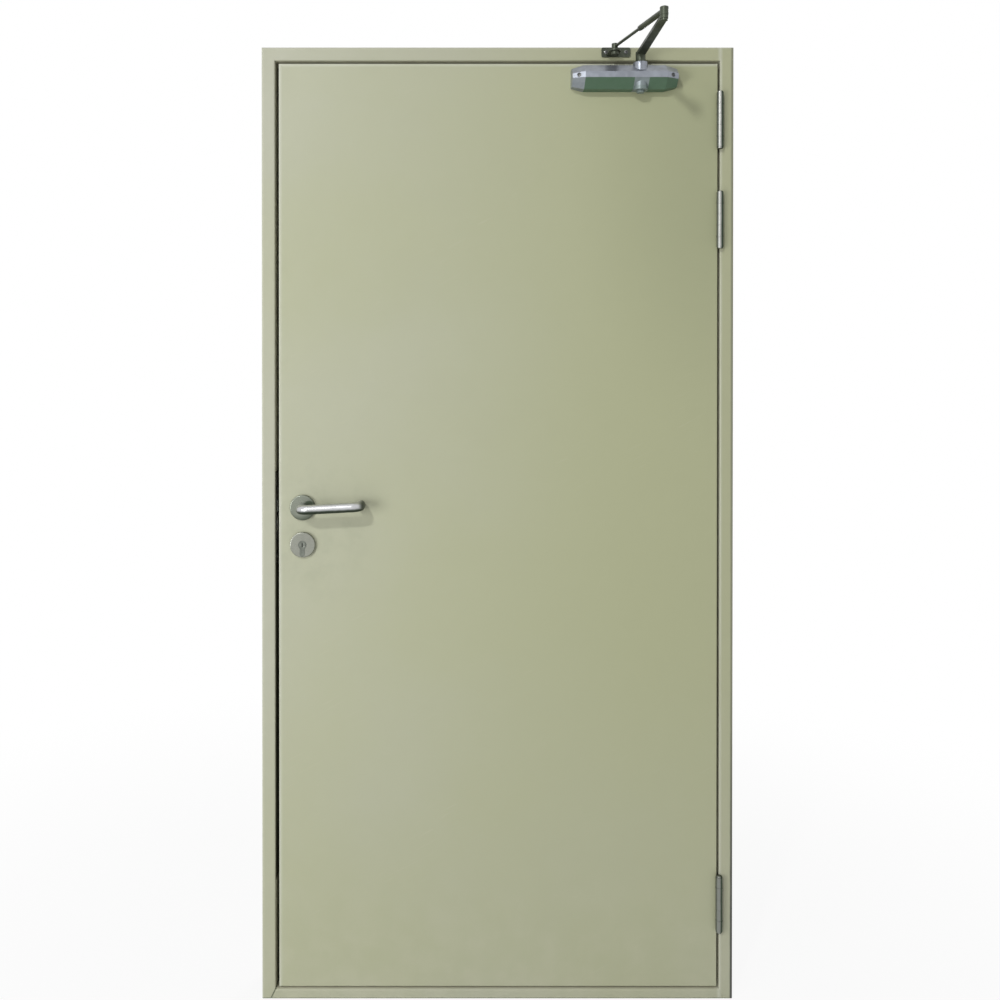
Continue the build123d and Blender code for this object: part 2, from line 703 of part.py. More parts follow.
def closer_cap(side):
    """A tapered end cap with a round recess in its slanted front: side is -1 on the left
    and 1 on the right."""
    end = CLOSER_LEFT if side < 0 else CLOSER_RIGHT
    inner = closer_face(end - side * CLOSER_CAP, 1)
    outer = closer_face(end, CLOSER_CAP_TAPER)
    fall = CLOSER_DEPTH * (1 - CLOSER_CAP_TAPER)
    middle = Vector(end - side * CLOSER_CAP / 2, -CLOSER_DEPTH + fall / 2, CLOSER_Z)
    slant = Plane(origin=middle, z_dir=(side * fall, -CLOSER_CAP, 0))
    recess = Cylinder(CAP_RECESS_DIAMETER / 2, 2 * CAP_RECESS_DEPTH)
    return loft([inner, outer]) - slant * recess


def closer_bottom_cap():
    """The small plug under the spindle boss."""
    top = CLOSER_BOTTOM - CLOSER_BOSS_FALL
    plug = upright(SPINDLE_POINT, BOTTOM_CAP_DIAMETER, top - BOTTOM_CAP_LENGTH, top)
    return chamfer(plug.faces().sort_by(Axis.Z)[0].edges(), BOTTOM_CAP_LENGTH / 4)


# Arms
def bar_between(start, end, z, diameter):
    """A level round bar between two points of the plan."""
    first = Vector(start[0], start[1], z)
    run = Vector(end[0], end[1], z) - first
    place = Plane(origin=first, z_dir=run.normalized())
    return extrude(place * Circle(diameter / 2), amount=run.length)


def forearm_point(share):
    """The point a given share of the way from the elbow to the shoe's pivot."""
    return tuple(e + share * (p - e) for e, p in zip(ELBOW_POINT, PIVOT_POINT))


def main_arm():
    """A flat tapered bar from a tall hub on the spindle to the elbow."""
    x, near = SPINDLE_POINT
    far = ELBOW_POINT[1]
    outline = make_face(Polyline(
        (x - ARM_WIDTH / 2, near),
        (x + ARM_WIDTH / 2, near),
        (x + ARM_TIP_WIDTH / 2, far),
        (x - ARM_TIP_WIDTH / 2, far),
        close=True,
    ))
    arm = Pos(0, 0, ARM_UNDERSIDE) * extrude(outline, amount=ARM_THICKNESS, dir=UP)
    arm += upright(ELBOW_POINT, ARM_TIP_WIDTH, ARM_UNDERSIDE, ARM_TOP)
    arm += upright(SPINDLE_POINT, ARM_HUB_DIAMETER, BOSS_TOP + RUNNING_CLEARANCE, ARM_TOP)
    return arm + upright(ELBOW_POINT, ELBOW_NUT_DIAMETER, ARM_UNDERSIDE - ELBOW_NUT_LENGTH,
                         ARM_UNDERSIDE)


def closer_spindle():
    """The shaft that the main arm turns, running down into the boss."""
    return upright(SPINDLE_POINT, SPINDLE_DIAMETER, BOSS_TOP - SPINDLE_DEPTH,
                   BOSS_TOP + RUNNING_CLEARANCE)


def forearm_tube():
    """The thick outer half of the forearm, from the eye at the elbow."""
    tube = bar_between(ELBOW_POINT, forearm_point(FOREARM_TUBE_SHARE), FOREARM_HEIGHT,
                       FOREARM_TUBE_DIAMETER)
    tube += upright(ELBOW_POINT, ELBOW_EYE_DIAMETER, ARM_TOP + RUNNING_CLEARANCE, ELBOW_EYE_TOP)
    grip = FOREARM_TUBE_SHARE - ROD_GRIP / math.dist(ELBOW_POINT, PIVOT_POINT)
    return tube - bar_between(forearm_point(grip), PIVOT_POINT, FOREARM_HEIGHT, FOREARM_ROD_DIAMETER)


def forearm_rod():
    """The thin adjusting rod, with the eye that turns on the shoe's pin."""
    grip = FOREARM_TUBE_SHARE - ROD_GRIP / math.dist(ELBOW_POINT, PIVOT_POINT)
    rod = bar_between(forearm_point(grip), PIVOT_POINT, FOREARM_HEIGHT, FOREARM_ROD_DIAMETER)
    half = ROD_EYE_HEIGHT / 2
    rod += upright(PIVOT_POINT, ROD_EYE_DIAMETER, FOREARM_HEIGHT - half, FOREARM_HEIGHT + half)
    bore = SHOE_PIN_DIAMETER + 2 * SHAFT_CLEARANCE
    return rod - upright(PIVOT_POINT, bore, FOREARM_HEIGHT - 2 * half, FOREARM_HEIGHT + 2 * half)


def elbow_bolt():
    """The bolt head on top of the forearm's eye."""
    head = upright(ELBOW_POINT, ELBOW_HEAD_DIAMETER, ELBOW_EYE_TOP,
                   ELBOW_EYE_TOP + ELBOW_HEAD_HEIGHT)
    return chamfer(head.faces().sort_by(Axis.Z)[-1].edges(), ELBOW_HEAD_HEIGHT / 4)


# Shoe
def closer_shoe():
    """An angle bracket on the head with the pin that the forearm's rod turns on."""
    x, y = PIVOT_POINT
    flange_top = SHOE_FLANGE_Z + SHOE_PLATE
    eye_bottom = FOREARM_HEIGHT - ROD_EYE_HEIGHT / 2
    eye_top = FOREARM_HEIGHT + ROD_EYE_HEIGHT / 2
    half = SHOE_FLANGE_WIDTH / 2
    body = box(SHOE_LEFT, SHOE_LEFT + SHOE_LENGTH, -SHOE_PLATE, 0, SHOE_BOTTOM,
               SHOE_BOTTOM + SHOE_HEIGHT)
    body = fillet(body.edges().filter_by(Axis.Y), SHOE_PLATE)
    body += box(x - half, x + half, y, 0, SHOE_FLANGE_Z, flange_top)
    body += upright(PIVOT_POINT, SHOE_FLANGE_WIDTH, SHOE_FLANGE_Z, flange_top)
    body += upright(PIVOT_POINT, SHOE_BOSS_DIAMETER, SHOE_FLANGE_Z - SHOE_BOSS_DROP, flange_top)
    body += upright(PIVOT_POINT, ROD_EYE_DIAMETER, flange_top, eye_bottom - RUNNING_CLEARANCE)
    body += upright(PIVOT_POINT, SHOE_PIN_DIAMETER, flange_top, eye_top + RUNNING_CLEARANCE)
    head = upright(PIVOT_POINT, ROD_EYE_DIAMETER, eye_top + RUNNING_CLEARANCE,
                   eye_top + RUNNING_CLEARANCE + PIN_HEAD_HEIGHT)
    return body + head


def closer_shoe_screws():
    """The two screw heads on the bracket, one at each end."""
    screws = []
    for x in (SHOE_LEFT + SHOE_SCREW_INSET, SHOE_LEFT + SHOE_LENGTH - SHOE_SCREW_INSET):
        head = crosswise(x, SHOE_BOTTOM + SHOE_HEIGHT / 2, SHOE_SCREW_DIAMETER,
                         -SHOE_PLATE - SHOE_SCREW_HEAD, -SHOE_PLATE)
        screws.append(fillet(head.faces().sort_by(Axis.Y)[0].edges(), SHOE_SCREW_HEAD / 2))
    return Compound(children=screws)


def pieces():
    """Every piece by its name."""
    made = {
        "frame_head": frame_head(),
        "lock_jamb": lock_jamb(),
        "hinge_jamb": jamb(1),
        "threshold": threshold(),
        "head_seal": cross_seal(head_seal_middle()),
        "lock_jamb_seal": jamb_seal(-1),
        "hinge_jamb_seal": jamb_seal(1),
        "threshold_seal": cross_seal(threshold_seal_middle()),
        "edge_seal_strip": edge_seal_strip(),
        "strike_plate": strike_plate(),
        "closer_shoe": closer_shoe(),
        "closer_shoe_screws": closer_shoe_screws(),
        "front_skin": front_skin(),
        "rear_skin": rear_skin(),
        "acoustic_core": acoustic_core(),
        "mortice_lock": mortice_lock(),
        "latch_bolt": latch_bolt(),
        "dead_bolt": dead_bolt(),
        "lock_cylinder": lock_cylinder(),
        "front_handle_rose": front_handle_rose(),
        "rear_handle_rose": to_rear(front_handle_rose()),
        "front_cylinder_rose": front_cylinder_rose(),
        "rear_cylinder_rose": to_rear(front_cylinder_rose()),
        "closer_body": closer_body(),
        "closer_left_cap": closer_cap(-1),
        "closer_right_cap": closer_cap(1),
        "closer_bottom_cap": closer_bottom_cap(),
        "front_lever": front_lever(),
        "rear_lever": to_rear(front_lever()),
        "lever_spindle": lever_spindle(),
        "main_arm": main_arm(),
        "closer_spindle": closer_spindle(),
        "forearm_tube": forearm_tube(),
        "forearm_rod": forearm_rod(),
        "elbow_bolt": elbow_bolt(),
    }
    for place, height in HINGE_HEIGHTS.items():
        made[place + "_hinge_jamb_plate"] = hinge_half(height, 1)
        made[place + "_hinge_leaf_plate"] = hinge_half(height, -1)
        made[place + "_hinge_pin"] = hinge_pin(height)
    return made


os.makedirs("parts", exist_ok=True)
for name, piece in pieces().items():
    export_step(Pos(0, -FRAME_DEPTH / 2, 0) * piece, "parts/" + name + ".step")
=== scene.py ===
import json
import math

import bpy
import numpy as np
from bpy.props import FloatProperty, FloatVectorProperty, IntProperty, PointerProperty
from bpy.types import Operator, Panel, PropertyGroup
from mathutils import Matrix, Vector


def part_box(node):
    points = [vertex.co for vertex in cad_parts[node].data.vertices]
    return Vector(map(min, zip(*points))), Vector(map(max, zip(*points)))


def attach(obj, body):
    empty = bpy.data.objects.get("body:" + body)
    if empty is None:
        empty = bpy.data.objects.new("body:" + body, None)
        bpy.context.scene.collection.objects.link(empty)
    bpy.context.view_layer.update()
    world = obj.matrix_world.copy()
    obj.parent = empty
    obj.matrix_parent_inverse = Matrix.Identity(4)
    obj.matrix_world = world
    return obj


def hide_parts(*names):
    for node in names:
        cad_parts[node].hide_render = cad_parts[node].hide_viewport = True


bl_info = {
    "name": "Soundproof Door",
    "version": (1, 0, 0),
    "blender": (4, 5, 0),
    "location": "View3D > Sidebar > Door",
    "description": "Seals, screws, fittings, paint and metal finishes for a soundproof steel door",
    "category": "Object",
}

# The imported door, at rest, in metres. X runs from the lock side to the hinge side,
# Y from the pull face into the wall, Z up.
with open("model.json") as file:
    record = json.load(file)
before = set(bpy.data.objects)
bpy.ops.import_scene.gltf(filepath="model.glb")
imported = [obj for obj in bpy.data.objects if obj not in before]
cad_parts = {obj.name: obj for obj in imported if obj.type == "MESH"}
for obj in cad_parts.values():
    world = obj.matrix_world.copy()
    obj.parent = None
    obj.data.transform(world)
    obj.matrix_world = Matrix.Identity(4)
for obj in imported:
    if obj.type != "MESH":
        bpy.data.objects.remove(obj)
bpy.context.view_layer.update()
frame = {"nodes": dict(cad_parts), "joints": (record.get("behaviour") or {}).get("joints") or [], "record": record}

MM = 0.001
# Points round each outline, and the thickness of the frame's sheet steel
AROUND = 96
SHEET = 1.5 * MM


def corners(node):
    """Lowest and highest corner of a CAD node as arrays."""
    low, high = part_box(node)
    return np.array(low), np.array(high)


def middle(node):
    """Middle of a CAD node's box."""
    low, high = corners(node)
    return (low + high) / 2


# Places read from the frame
HEAD_LOW, HEAD_HIGH = corners("frame_head")
LEAF_LOW, LEAF_HIGH = corners("front_skin")
LEAF_MIDDLE_Y = (LEAF_LOW[1] + LEAF_HIGH[1]) / 2
SILL_END = corners("threshold")[1][0]
SEAL_ABOVE_SILL = 3 * MM
SILL_TOP = corners("threshold_seal")[0][2] - SEAL_ABOVE_SILL
OPENING_EDGE = -corners("strike_plate")[0][0]
HINGE_AXIS = middle("upper_hinge_pin")
LEVER_AXIS = middle("front_handle_rose")
CYLINDER_AXIS = middle("front_cylinder_rose")
SPINDLE = middle("closer_spindle")
PLACES = ("lower", "middle", "upper")

FRONT = (0.0, -1.0, 0.0)
REAR = (0.0, 1.0, 0.0)
UP = (0.0, 0.0, 1.0)
DOWN = (0.0, 0.0, -1.0)
TO_HINGES = (1.0, 0.0, 0.0)
TO_LOCK = (-1.0, 0.0, 0.0)


def linear(red, green, blue):
    """A colour given as 0 to 255 display values, in the linear values that shaders use."""
    share = np.array([red, green, blue]) / 255
    return tuple(np.where(share <= 0.04045, share / 12.92, ((share + 0.055) / 1.055) ** 2.4))


def colour(name, description, display):
    """A colour that a user may change, with its default in display values."""
    return FloatVectorProperty(name=name, description=description, subtype="COLOR", size=3,
                               min=0.0, max=1.0, default=linear(*display))


def measure(name, description, millimetres):
    """A length that a user may change, with its default in millimetres."""
    return FloatProperty(name=name, description=description, unit="LENGTH", min=0.0,
                         default=millimetres * MM)


class DoorFinish(PropertyGroup):
    """Colours and textures of the paint, the rubber and the metals."""

    # Each pair of tones makes the paint's cloud and also a painted light tint across the door
    leaf_warm: colour("Leaf, warm tone", "Greener cloud of the leaf's paint", (172, 175, 140))
    leaf_cool: colour("Leaf, cool tone", "Greyer cloud of the leaf's paint", (176, 178, 154))
    frame_warm: colour("Frame, warm tone", "Greener cloud of the frame's paint", (172, 174, 142))
    frame_cool: colour("Frame, cool tone", "Greyer cloud of the frame's paint", (176, 177, 158))
    # Painted highlight along edges that face the light
    rubbed: colour("Rubbed edge", "Paler paint where an edge is rubbed", (204, 206, 192))
    # Dust, also laid strongly on the rebate as painted light in the shaded gap
    dust: colour("Dust", "Pale dust near the floor and in the rebate", (198, 196, 176))
    # Dirt in a slanted joint and round the lever; painted shade and shadow in nooks, at the feet, under the closer
    # and on the metal
    grime: colour("Grime", "Green black film in nooks and under the closer", (52, 68, 46))
    # Painted shade down the hinge jamb's outer edge
    joint: colour("Wall joint", "Dark line along the hinge jamb's outer edge", (70, 72, 66))
    rubber: colour("Seal rubber", "Bulb seals", (150, 147, 124))
    strip: colour("Strip rubber", "Black strip at the lock side's edge", (58, 58, 42))
    wool: colour("Wool", "Mineral wool filling", (172, 158, 112))
    stainless: colour("Stainless", "Levers", (206, 207, 208))
    rose: colour("Rose", "Covers round the levers' necks", (138, 143, 131))
    escutcheon: colour("Escutcheon", "Covers round the cylinder", (152, 154, 144))
    hinge_metal: colour("Hinges", "Hinge barrels and plates", (168, 169, 165))
    zinc: colour("Zinc", "Lock, bolts and strike", (176, 178, 176))
    nickel: colour("Nickel", "Profile cylinder", (116, 120, 112))
    silver: colour("Closer silver", "Lacquer on the closer", (154, 159, 168))
    # Painted reflection and shade on the closer's lower faces
    oil: colour("Oily film", "Green film on the closer's lower faces", (62, 98, 66))
    arm: colour("Arm", "Dulled lacquer on the closer's arms", (76, 82, 68))
    peel_size: measure("Orange peel", "Width of one bump in the powder coat", 1.6)
    peel_depth: measure("Peel depth", "Height of the powder coat's bumps", 0.05)


class DoorFittings(PropertyGroup):
    """Sizes of the small pieces that are fitted to the door."""

    seal_bulb: measure("Seal bulb", "Radius of the seal's round nose", 3.3)
    seal_foot: measure("Seal foot", "Thickness of the seal's foot", 1.5)
    strip_rib: measure("Strip rib", "Spacing of the ribs on the edge strip", 3.5)
    hinge_screw: measure("Hinge screw", "Diameter of a hinge screw's head", 8.5)
    hinge_screw_rise: measure("Hinge screw rise", "How far a hinge screw stands out", 0.4)
    hinge_screws: IntProperty(name="Hinge screws", description="Screws in each hinge plate",
                              default=4, min=2, max=6)
    lock_screw: measure("Lock screw", "Diameter of a forend or strike screw's head", 7.5)
    plug: measure("Plug", "Diameter of the cylinder's turning plug", 13.5)
    cap_taper: FloatProperty(name="Cap taper", default=0.74, min=0.1, max=1.0, subtype="FACTOR",
                             description="Share of the closer's section at a cap's end")
    cap_recess: measure("Cap recess", "Depth of the recess in a closer cap", 1.5)
    valve: measure("Valve screw", "Diameter of the adjusting screw in a closer cap", 8.4)
    spindle_screw: measure("Spindle screw", "Diameter of the screw on the spindle", 11.0)
    lock_nut: measure("Lock nut", "Width across the flats of the forearm's lock nut", 9.6)
    tube_share: FloatProperty(name="Tube share", description="Share of the forearm that is tube",
                              default=0.45, min=0.1, max=0.9, subtype="FACTOR")
    backing: measure("Backing", "Thickness of the plates welded behind the hinges", 3.0)
    sleeve: measure("Sleeve", "Outer diameter of the sleeves behind the wall fixings", 16.0)


class DoorStudio(PropertyGroup):
    """Camera and lamps."""

    camera_place: FloatVectorProperty(name="Camera", description="Where the camera stands",
                                      unit="LENGTH", size=3, default=(-0.151, -2.155, 1.282))
    camera_pitch: FloatProperty(name="Pitch", description="How far the camera looks down",
                                unit="ROTATION", default=math.radians(0.3))
    shift_x: FloatProperty(name="Shift across", description="Lens shift across", default=0.0744)
    shift_y: FloatProperty(name="Shift up", description="Lens shift up", default=-0.105)
    key_power: FloatProperty(name="Key", description="Power of the high lamp on the left",
                             unit="POWER", default=135.0)
    fill_power: FloatProperty(name="Fill", description="Power of the low lamp on the left",
                              unit="POWER", default=45.0)
    rear_power: FloatProperty(name="Rear", description="Power of the lamp behind the door",
                              unit="POWER", default=100.0)
    sky: FloatProperty(name="Sky", description="Strength of the even light all round",
                       default=0.33, min=0.0)


# Outlines: one (x, y) point for each angle, half a step off the axes

ANGLES = (np.arange(AROUND) + 0.5) * 2 * math.pi / AROUND
COSINE = np.cos(ANGLES)
SINE = np.sin(ANGLES)


def polar(radius):
    """The point at each angle whose distance from the middle is the radius there."""
    return np.stack([radius * COSINE, radius * SINE], axis=-1)


def circle(diameter):
    """A circle: the same radius all round."""
    return polar(np.full(AROUND, diameter / 2))


def hexagon(flat, corner=2.0):
    """A hexagon: half the distance over the flats, divided by the cosine of the angle from
    the nearest flat's middle, and cut off by a circle of a given share of it."""
    sixth = math.pi / 3
    radius = flat / 2 / np.cos((ANGLES + sixth / 2) % sixth - sixth / 2)
    return polar(np.minimum(radius, corner * flat / 2))


def bar(length, width, corner):
    """A rounded rectangle: a small circle's point, carried to the corner of its quadrant."""
    return np.stack([
        (length / 2 - corner) * np.sign(COSINE) + corner * COSINE,
        (width / 2 - corner) * np.sign(SINE) + corner * SINE,
    ], axis=-1)


def cross(length, width):
    """Two crossed bars: at each angle the farther of two rectangles' nearer sides."""
    along, over = length / 2, width / 2
    level = np.minimum(along / abs(COSINE), over / abs(SINE))
    upright = np.minimum(over / abs(COSINE), along / abs(SINE))
    return polar(np.maximum(level, upright))


# Surfaces


def closed_shell(loops, joined=False):
    """A closed surface through a stack of rings. Each ring is joined to the next by four
    sided faces; the ends are closed by a fan to the ring's middle, or, in a joined stack,
    the last ring meets the first. Faces are turned outwards by the sign of the volume."""
    loops = np.asarray(loops, float)
    count, around = loops.shape[:2]
    points = loops.reshape(-1, 3)
    index = np.arange(count * around).reshape(count, around)
    near = index if joined else index[:-1]
    far = np.roll(index, -1, axis=0) if joined else index[1:]
    quads = np.stack([near, np.roll(near, -1, 1), np.roll(far, -1, 1), far], axis=-1)
    quads = quads.reshape(-1, 4)
    fans = np.empty((0, 3), int)
    if not joined:
        points = np.vstack([points, loops[0].mean(axis=0), loops[-1].mean(axis=0)])
        start, end = index[0], index[-1]
        fans = np.vstack([
            np.stack([np.roll(start, -1), start, np.full(around, count * around)], axis=-1),
            np.stack([end, np.roll(end, -1), np.full(around, count * around + 1)], axis=-1),
        ])
    split = np.vstack([quads[:, [0, 1, 2]], quads[:, [0, 2, 3]], fans])
    a, b, c = (points[split[:, corner]] for corner in range(3))
    if np.einsum("ij,ij->", a, np.cross(b, c)) < 0:
        quads, fans = quads[:, ::-1], fans[:, ::-1]
    return points, quads, fans


def solid(rings, origin, normal, turn=0.0, joined=False):
    """A closed surface through rings round an axis, given as (outline, height) pairs. The
    height runs along the normal, and the two other axes are turned about it by an angle."""
    normal = np.array(normal, float)
    side = np.cross(UP, normal) if abs(normal[2]) < 0.9 else np.array([1.0, 0.0, 0.0])
    side /= np.linalg.norm(side)
    first = math.cos(turn) * side + math.sin(turn) * np.cross(normal, side)
    axes = np.stack([first, np.cross(normal, first), normal])
    loops = [np.column_stack([outline, np.full(AROUND, height)]) for outline, height in rings]
    return closed_shell(np.stack(loops) @ axes + np.array(origin, float), joined)


def link_object(name, data):
    """A new object in the scene."""
    made = bpy.data.objects.new(name, data)
    bpy.context.scene.collection.objects.link(made)
    return made


def make_piece(name, shells, body, slot, replaced=()):
    """One object from closed shells, with its finish, riding on a CAD body."""
    points, faces, offset = [], [], 0
    for shell_points, quads, fans in shells:
        points.append(shell_points)
        faces += (quads + offset).tolist() + (fans + offset).tolist()
        offset += len(shell_points)
    mesh = bpy.data.meshes.new(name)
    mesh.from_pydata(np.vstack(points).tolist(), [], faces)
    mesh.polygons.foreach_set("use_smooth", np.ones(len(faces), bool))
    mesh.set_sharp_from_angle(angle=math.radians(32))
    mesh.materials.append(finish(slot))
    piece = link_object(name, mesh)
    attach(piece, body)
    if replaced:
        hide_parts(*replaced)


def screw(origin, normal, diameter, rise, recess, turn):
    """A low domed head: the dome falls as the square of the distance from the axis, and
    the recess, an outline, goes down to a tenth of the rise."""
    shares = np.linspace(1.0, 0.62, 5)
    dome = [(circle(diameter * share), rise * (1 - 0.55 * share ** 2)) for share in shares]
    rings = [(circle(diameter), 0.0), *dome, (recess, rise * 0.9), (recess * 0.86, rise * 0.1)]
    return solid(rings, origin, normal, turn)


def cross_screw(origin, normal, diameter, rise, turn):
    """A screw head with a cross recess."""
    return screw(origin, normal, diameter, rise, cross(diameter * 0.52, diameter * 0.13), turn)


def socket_screw(origin, normal, diameter, rise, turn=0.2):
    """A screw head with a hexagonal socket."""
    return screw(origin, normal, diameter, rise, hexagon(diameter * 0.42), turn)


def slotted_screw(origin, normal, diameter, rise, turn=0.6):
    """A flat adjusting screw with a wide slot."""
    slot = bar(diameter * 0.74, diameter * 0.16, diameter * 0.05)
    return screw(origin, normal, diameter, rise, slot, turn)


def washer(origin, normal, diameter, bore, thickness):
    """A flat ring whose outer edge is cut back by a third of its thickness."""
    rings = [
        (circle(bore), 0.0),
        (circle(diameter), 0.0),
        (circle(diameter), thickness * 0.67),
        (circle(diameter - thickness * 0.67), thickness),
        (circle(bore), thickness),
    ]
    return solid(rings, origin, normal, joined=True)


def tube(origin, normal, diameter, bore, length):
    """A straight tube."""
    rings = [(circle(bore), 0.0), (circle(diameter), 0.0), (circle(diameter), length),
             (circle(bore), length)]
    return solid(rings, origin, normal, joined=True)


def plate(origin, normal, length, width, height, turn=0.0, edge=0.3 * MM):
    """A block with rounded corners whose ends draw in by a small chamfer."""
    full = bar(length, width, edge * 1.5)
    drawn = bar(length - 2 * edge, width - 2 * edge, edge)
    rings = [(drawn, 0.0), (full, edge), (full, height - edge), (drawn, height)]
    return solid(rings, origin, normal, turn)


# Shader building blocks


class Field:
    """A number, vector or colour that a node gives. Sums, differences, products and sizes
    of numbers add a Math node to the graph."""

    # Lets a numpy number on the left leave the sum to this class
    __array_ufunc__ = None

    def __init__(self, graph, socket):
        self.graph = graph
        self.socket = socket

    def __add__(self, other):
        return self.graph.maths("ADD", self, other)

    def __sub__(self, other):
        return self.graph.maths("SUBTRACT", self, other)

    def __rsub__(self, other):
        return self.graph.maths("SUBTRACT", other, self)

    def __mul__(self, other):
        return self.graph.maths("MULTIPLY", self, other)

    def __abs__(self):
        return self.graph.maths("ABSOLUTE", self)

    def ramp(self, low, high, out_low=0.0, out_high=1.0):
        """A smooth step from one value to another between two limits."""
        return self.graph.read("Result", "ShaderNodeMapRange", {
            "Value": self, "From Min": low, "From Max": high, "To Min": out_low,
            "To Max": out_high,
        }, interpolation_type="SMOOTHSTEP")


def most(first, second):
    """The larger of two numbers."""
    return first.graph.maths("MAXIMUM", first, second)


def least(first, second):
    """The smaller of two numbers."""
    return first.graph.maths("MINIMUM", first, second)


class Graph:
    """Adds nodes to one tree, sets their sockets and links them. Its place is the point at
    which noise, distances and groups are worked out."""

    def __init__(self, tree):
        self.tree = tree
        self.place = None

    def node(self, kind, inputs=None, **settings):
        made = self.tree.nodes.new(kind)
        for key, value in settings.items():
            setattr(made, key, value)
        for key, value in (inputs or {}).items():
            self.feed(made.inputs[key], value)
        return made

    def feed(self, socket, value):
        if isinstance(value, Field):
            self.tree.links.new(value.socket, socket)
        elif socket.type == "RGBA" and len(value) == 3:
            socket.default_value = (*value, 1.0)
        else:
            socket.default_value = value

    def read(self, output, kind, inputs=None, **settings):
        """Adds a node and gives one of its outputs."""
        return Field(self, self.node(kind, inputs, **settings).outputs[output])

    def outputs(self, made):
        """All outputs of a node by name."""
        return {socket.name: Field(self, socket) for socket in made.outputs}

    def maths(self, operation, first, second=0.0, clamp=False):
        return self.read(0, "ShaderNodeMath", {0: first, 1: second}, operation=operation,
                         use_clamp=clamp)

    def vectors(self, operation, first, second):
        return self.read(0, "ShaderNodeVectorMath", {0: first, 1: second}, operation=operation)

    def blend(self, share, first, second):
        """A colour between two others."""
        made = self.node("ShaderNodeMix", data_type="RGBA")
        for number, value in ((0, share), (6, first), (7, second)):
            self.feed(made.inputs[number], value)
        return Field(self, made.outputs[2])

    def noise(self, scale, detail=2.0, roughness=0.5, place=None):
        return self.read(0, "ShaderNodeTexNoise", {
            "Vector": place or self.place, "Scale": scale, "Detail": detail,
            "Roughness": roughness,
        })

    def group(self, name, **inputs):
        """Places a shared group and gives its outputs by name."""
        made = self.node("ShaderNodeGroup", {"Vector": self.place}, node_tree=node_group(name))
        for key, value in inputs.items():
            self.feed(made.inputs[key.capitalize()], value)
        return self.outputs(made)

    def parts(self, vector):
        return list(self.outputs(self.node("ShaderNodeSeparateXYZ", {0: vector})).values())

    def distance(self, point, stretch):
        """Distance from a point, with each axis stretched by its own share."""
        offset = self.vectors("SUBTRACT", self.place, tuple(point))
        scaled = self.vectors("MULTIPLY", offset, stretch)
        return self.read("Value", "ShaderNodeVectorMath", {0: scaled}, operation="LENGTH")


def cloudy_colour(graph, inputs):
    """Two tones mixed by soft noise, with a fainter and finer cloud on top."""
    broad = graph.noise(inputs["Scale"], 1.5)
    fine = graph.noise(inputs["Scale"] * 9.0, 3.0)
    mixed = graph.maths("ADD", broad.ramp(0.34, 0.66), (fine - 0.5) * 0.5, clamp=True)
    return {"Color": graph.blend(mixed, inputs["First"], inputs["Second"])}


def coat_bumps(graph, inputs):
    """Height of a sprayed or cast skin: fine bumps on faint broad waves."""
    small = graph.noise(inputs["Scale"], 2.0, 0.55)
    wide = graph.noise(inputs["Scale"] * 0.02, 1.0)
    return {"Height": small + wide * inputs["Waves"]}


def brushed_lines(graph, inputs):
    """Long thin marks: noise in coordinates squeezed along the brushing."""
    squeezed = graph.vectors("MULTIPLY", graph.place, inputs["Stretch"])
    lines = graph.noise(1.0, 4.0, 0.65, squeezed)
    return {"Height": lines, "Shade": lines.ramp(0.3, 0.7)}


def border_band(graph, inputs):
    """1 on the outline of a box seen from the front, falling to 0 over a width."""
    point, low, high = (graph.parts(inputs[name]) for name in ("Vector", "Low", "High"))
    across, upward = (
        least(point[axis] - low[axis], high[axis] - point[axis]) for axis in (0, 2))
    share = graph.maths("DIVIDE", abs(least(across, upward)), inputs["Width"])
    return {"Mask": graph.maths("SUBTRACT", 1.0, share, clamp=True)}


def settled_dust(graph, inputs):
    """Patches of dust: more of it near the floor and on faces that look up."""
    height, facing = graph.parts(graph.place)[2], graph.parts(inputs["Normal"])[2]
    near_floor = height.ramp(0.0, inputs["Reach"], 1.0, 0.0)
    total = graph.maths("ADD", near_floor * 0.6, facing.ramp(0.55, 0.95), clamp=True)
    return {"Mask": total * graph.noise(16.0, 5.0, 0.6).ramp(0.35, 0.75)}


def fine_scratches(graph, inputs):
    """Sparse hairline scratches: the crest of stretched noise, kept in scattered patches."""
    bent = graph.read(0, "ShaderNodeVectorRotate", {"Vector": inputs["Vector"], "Angle": 0.5},
                      rotation_type="Y_AXIS")
    squeezed = graph.vectors("MULTIPLY", bent, (14.0, 60.0, 420.0))
    crest = graph.noise(1.0, 1.0, place=squeezed).ramp(0.69, 0.74)
    return {"Mask": crest * graph.noise(5.0, 1.0).ramp(0.52, 0.66)}


# The kind of each group socket that isn't a plain number
KINDS = {
    **dict.fromkeys(("Vector", "Normal", "Stretch", "Low", "High"), "NodeSocketVector"),
    **dict.fromkeys(("Color", "First", "Second"), "NodeSocketColor"),
}

# Each group's function, its inputs and its outputs
GROUPS = {
    "Cloudy colour": (cloudy_colour, ("Vector", "Scale", "First", "Second"), ("Color",)),
    "Coat bumps": (coat_bumps, ("Vector", "Scale", "Waves"), ("Height",)),
    "Brushed lines": (brushed_lines, ("Vector", "Stretch"), ("Height", "Shade")),
    "Border band": (border_band, ("Vector", "Low", "High", "Width"), ("Mask",)),
    "Settled dust": (settled_dust, ("Vector", "Normal", "Reach"), ("Mask",)),
    "Fine scratches": (fine_scratches, ("Vector",), ("Mask",)),
}


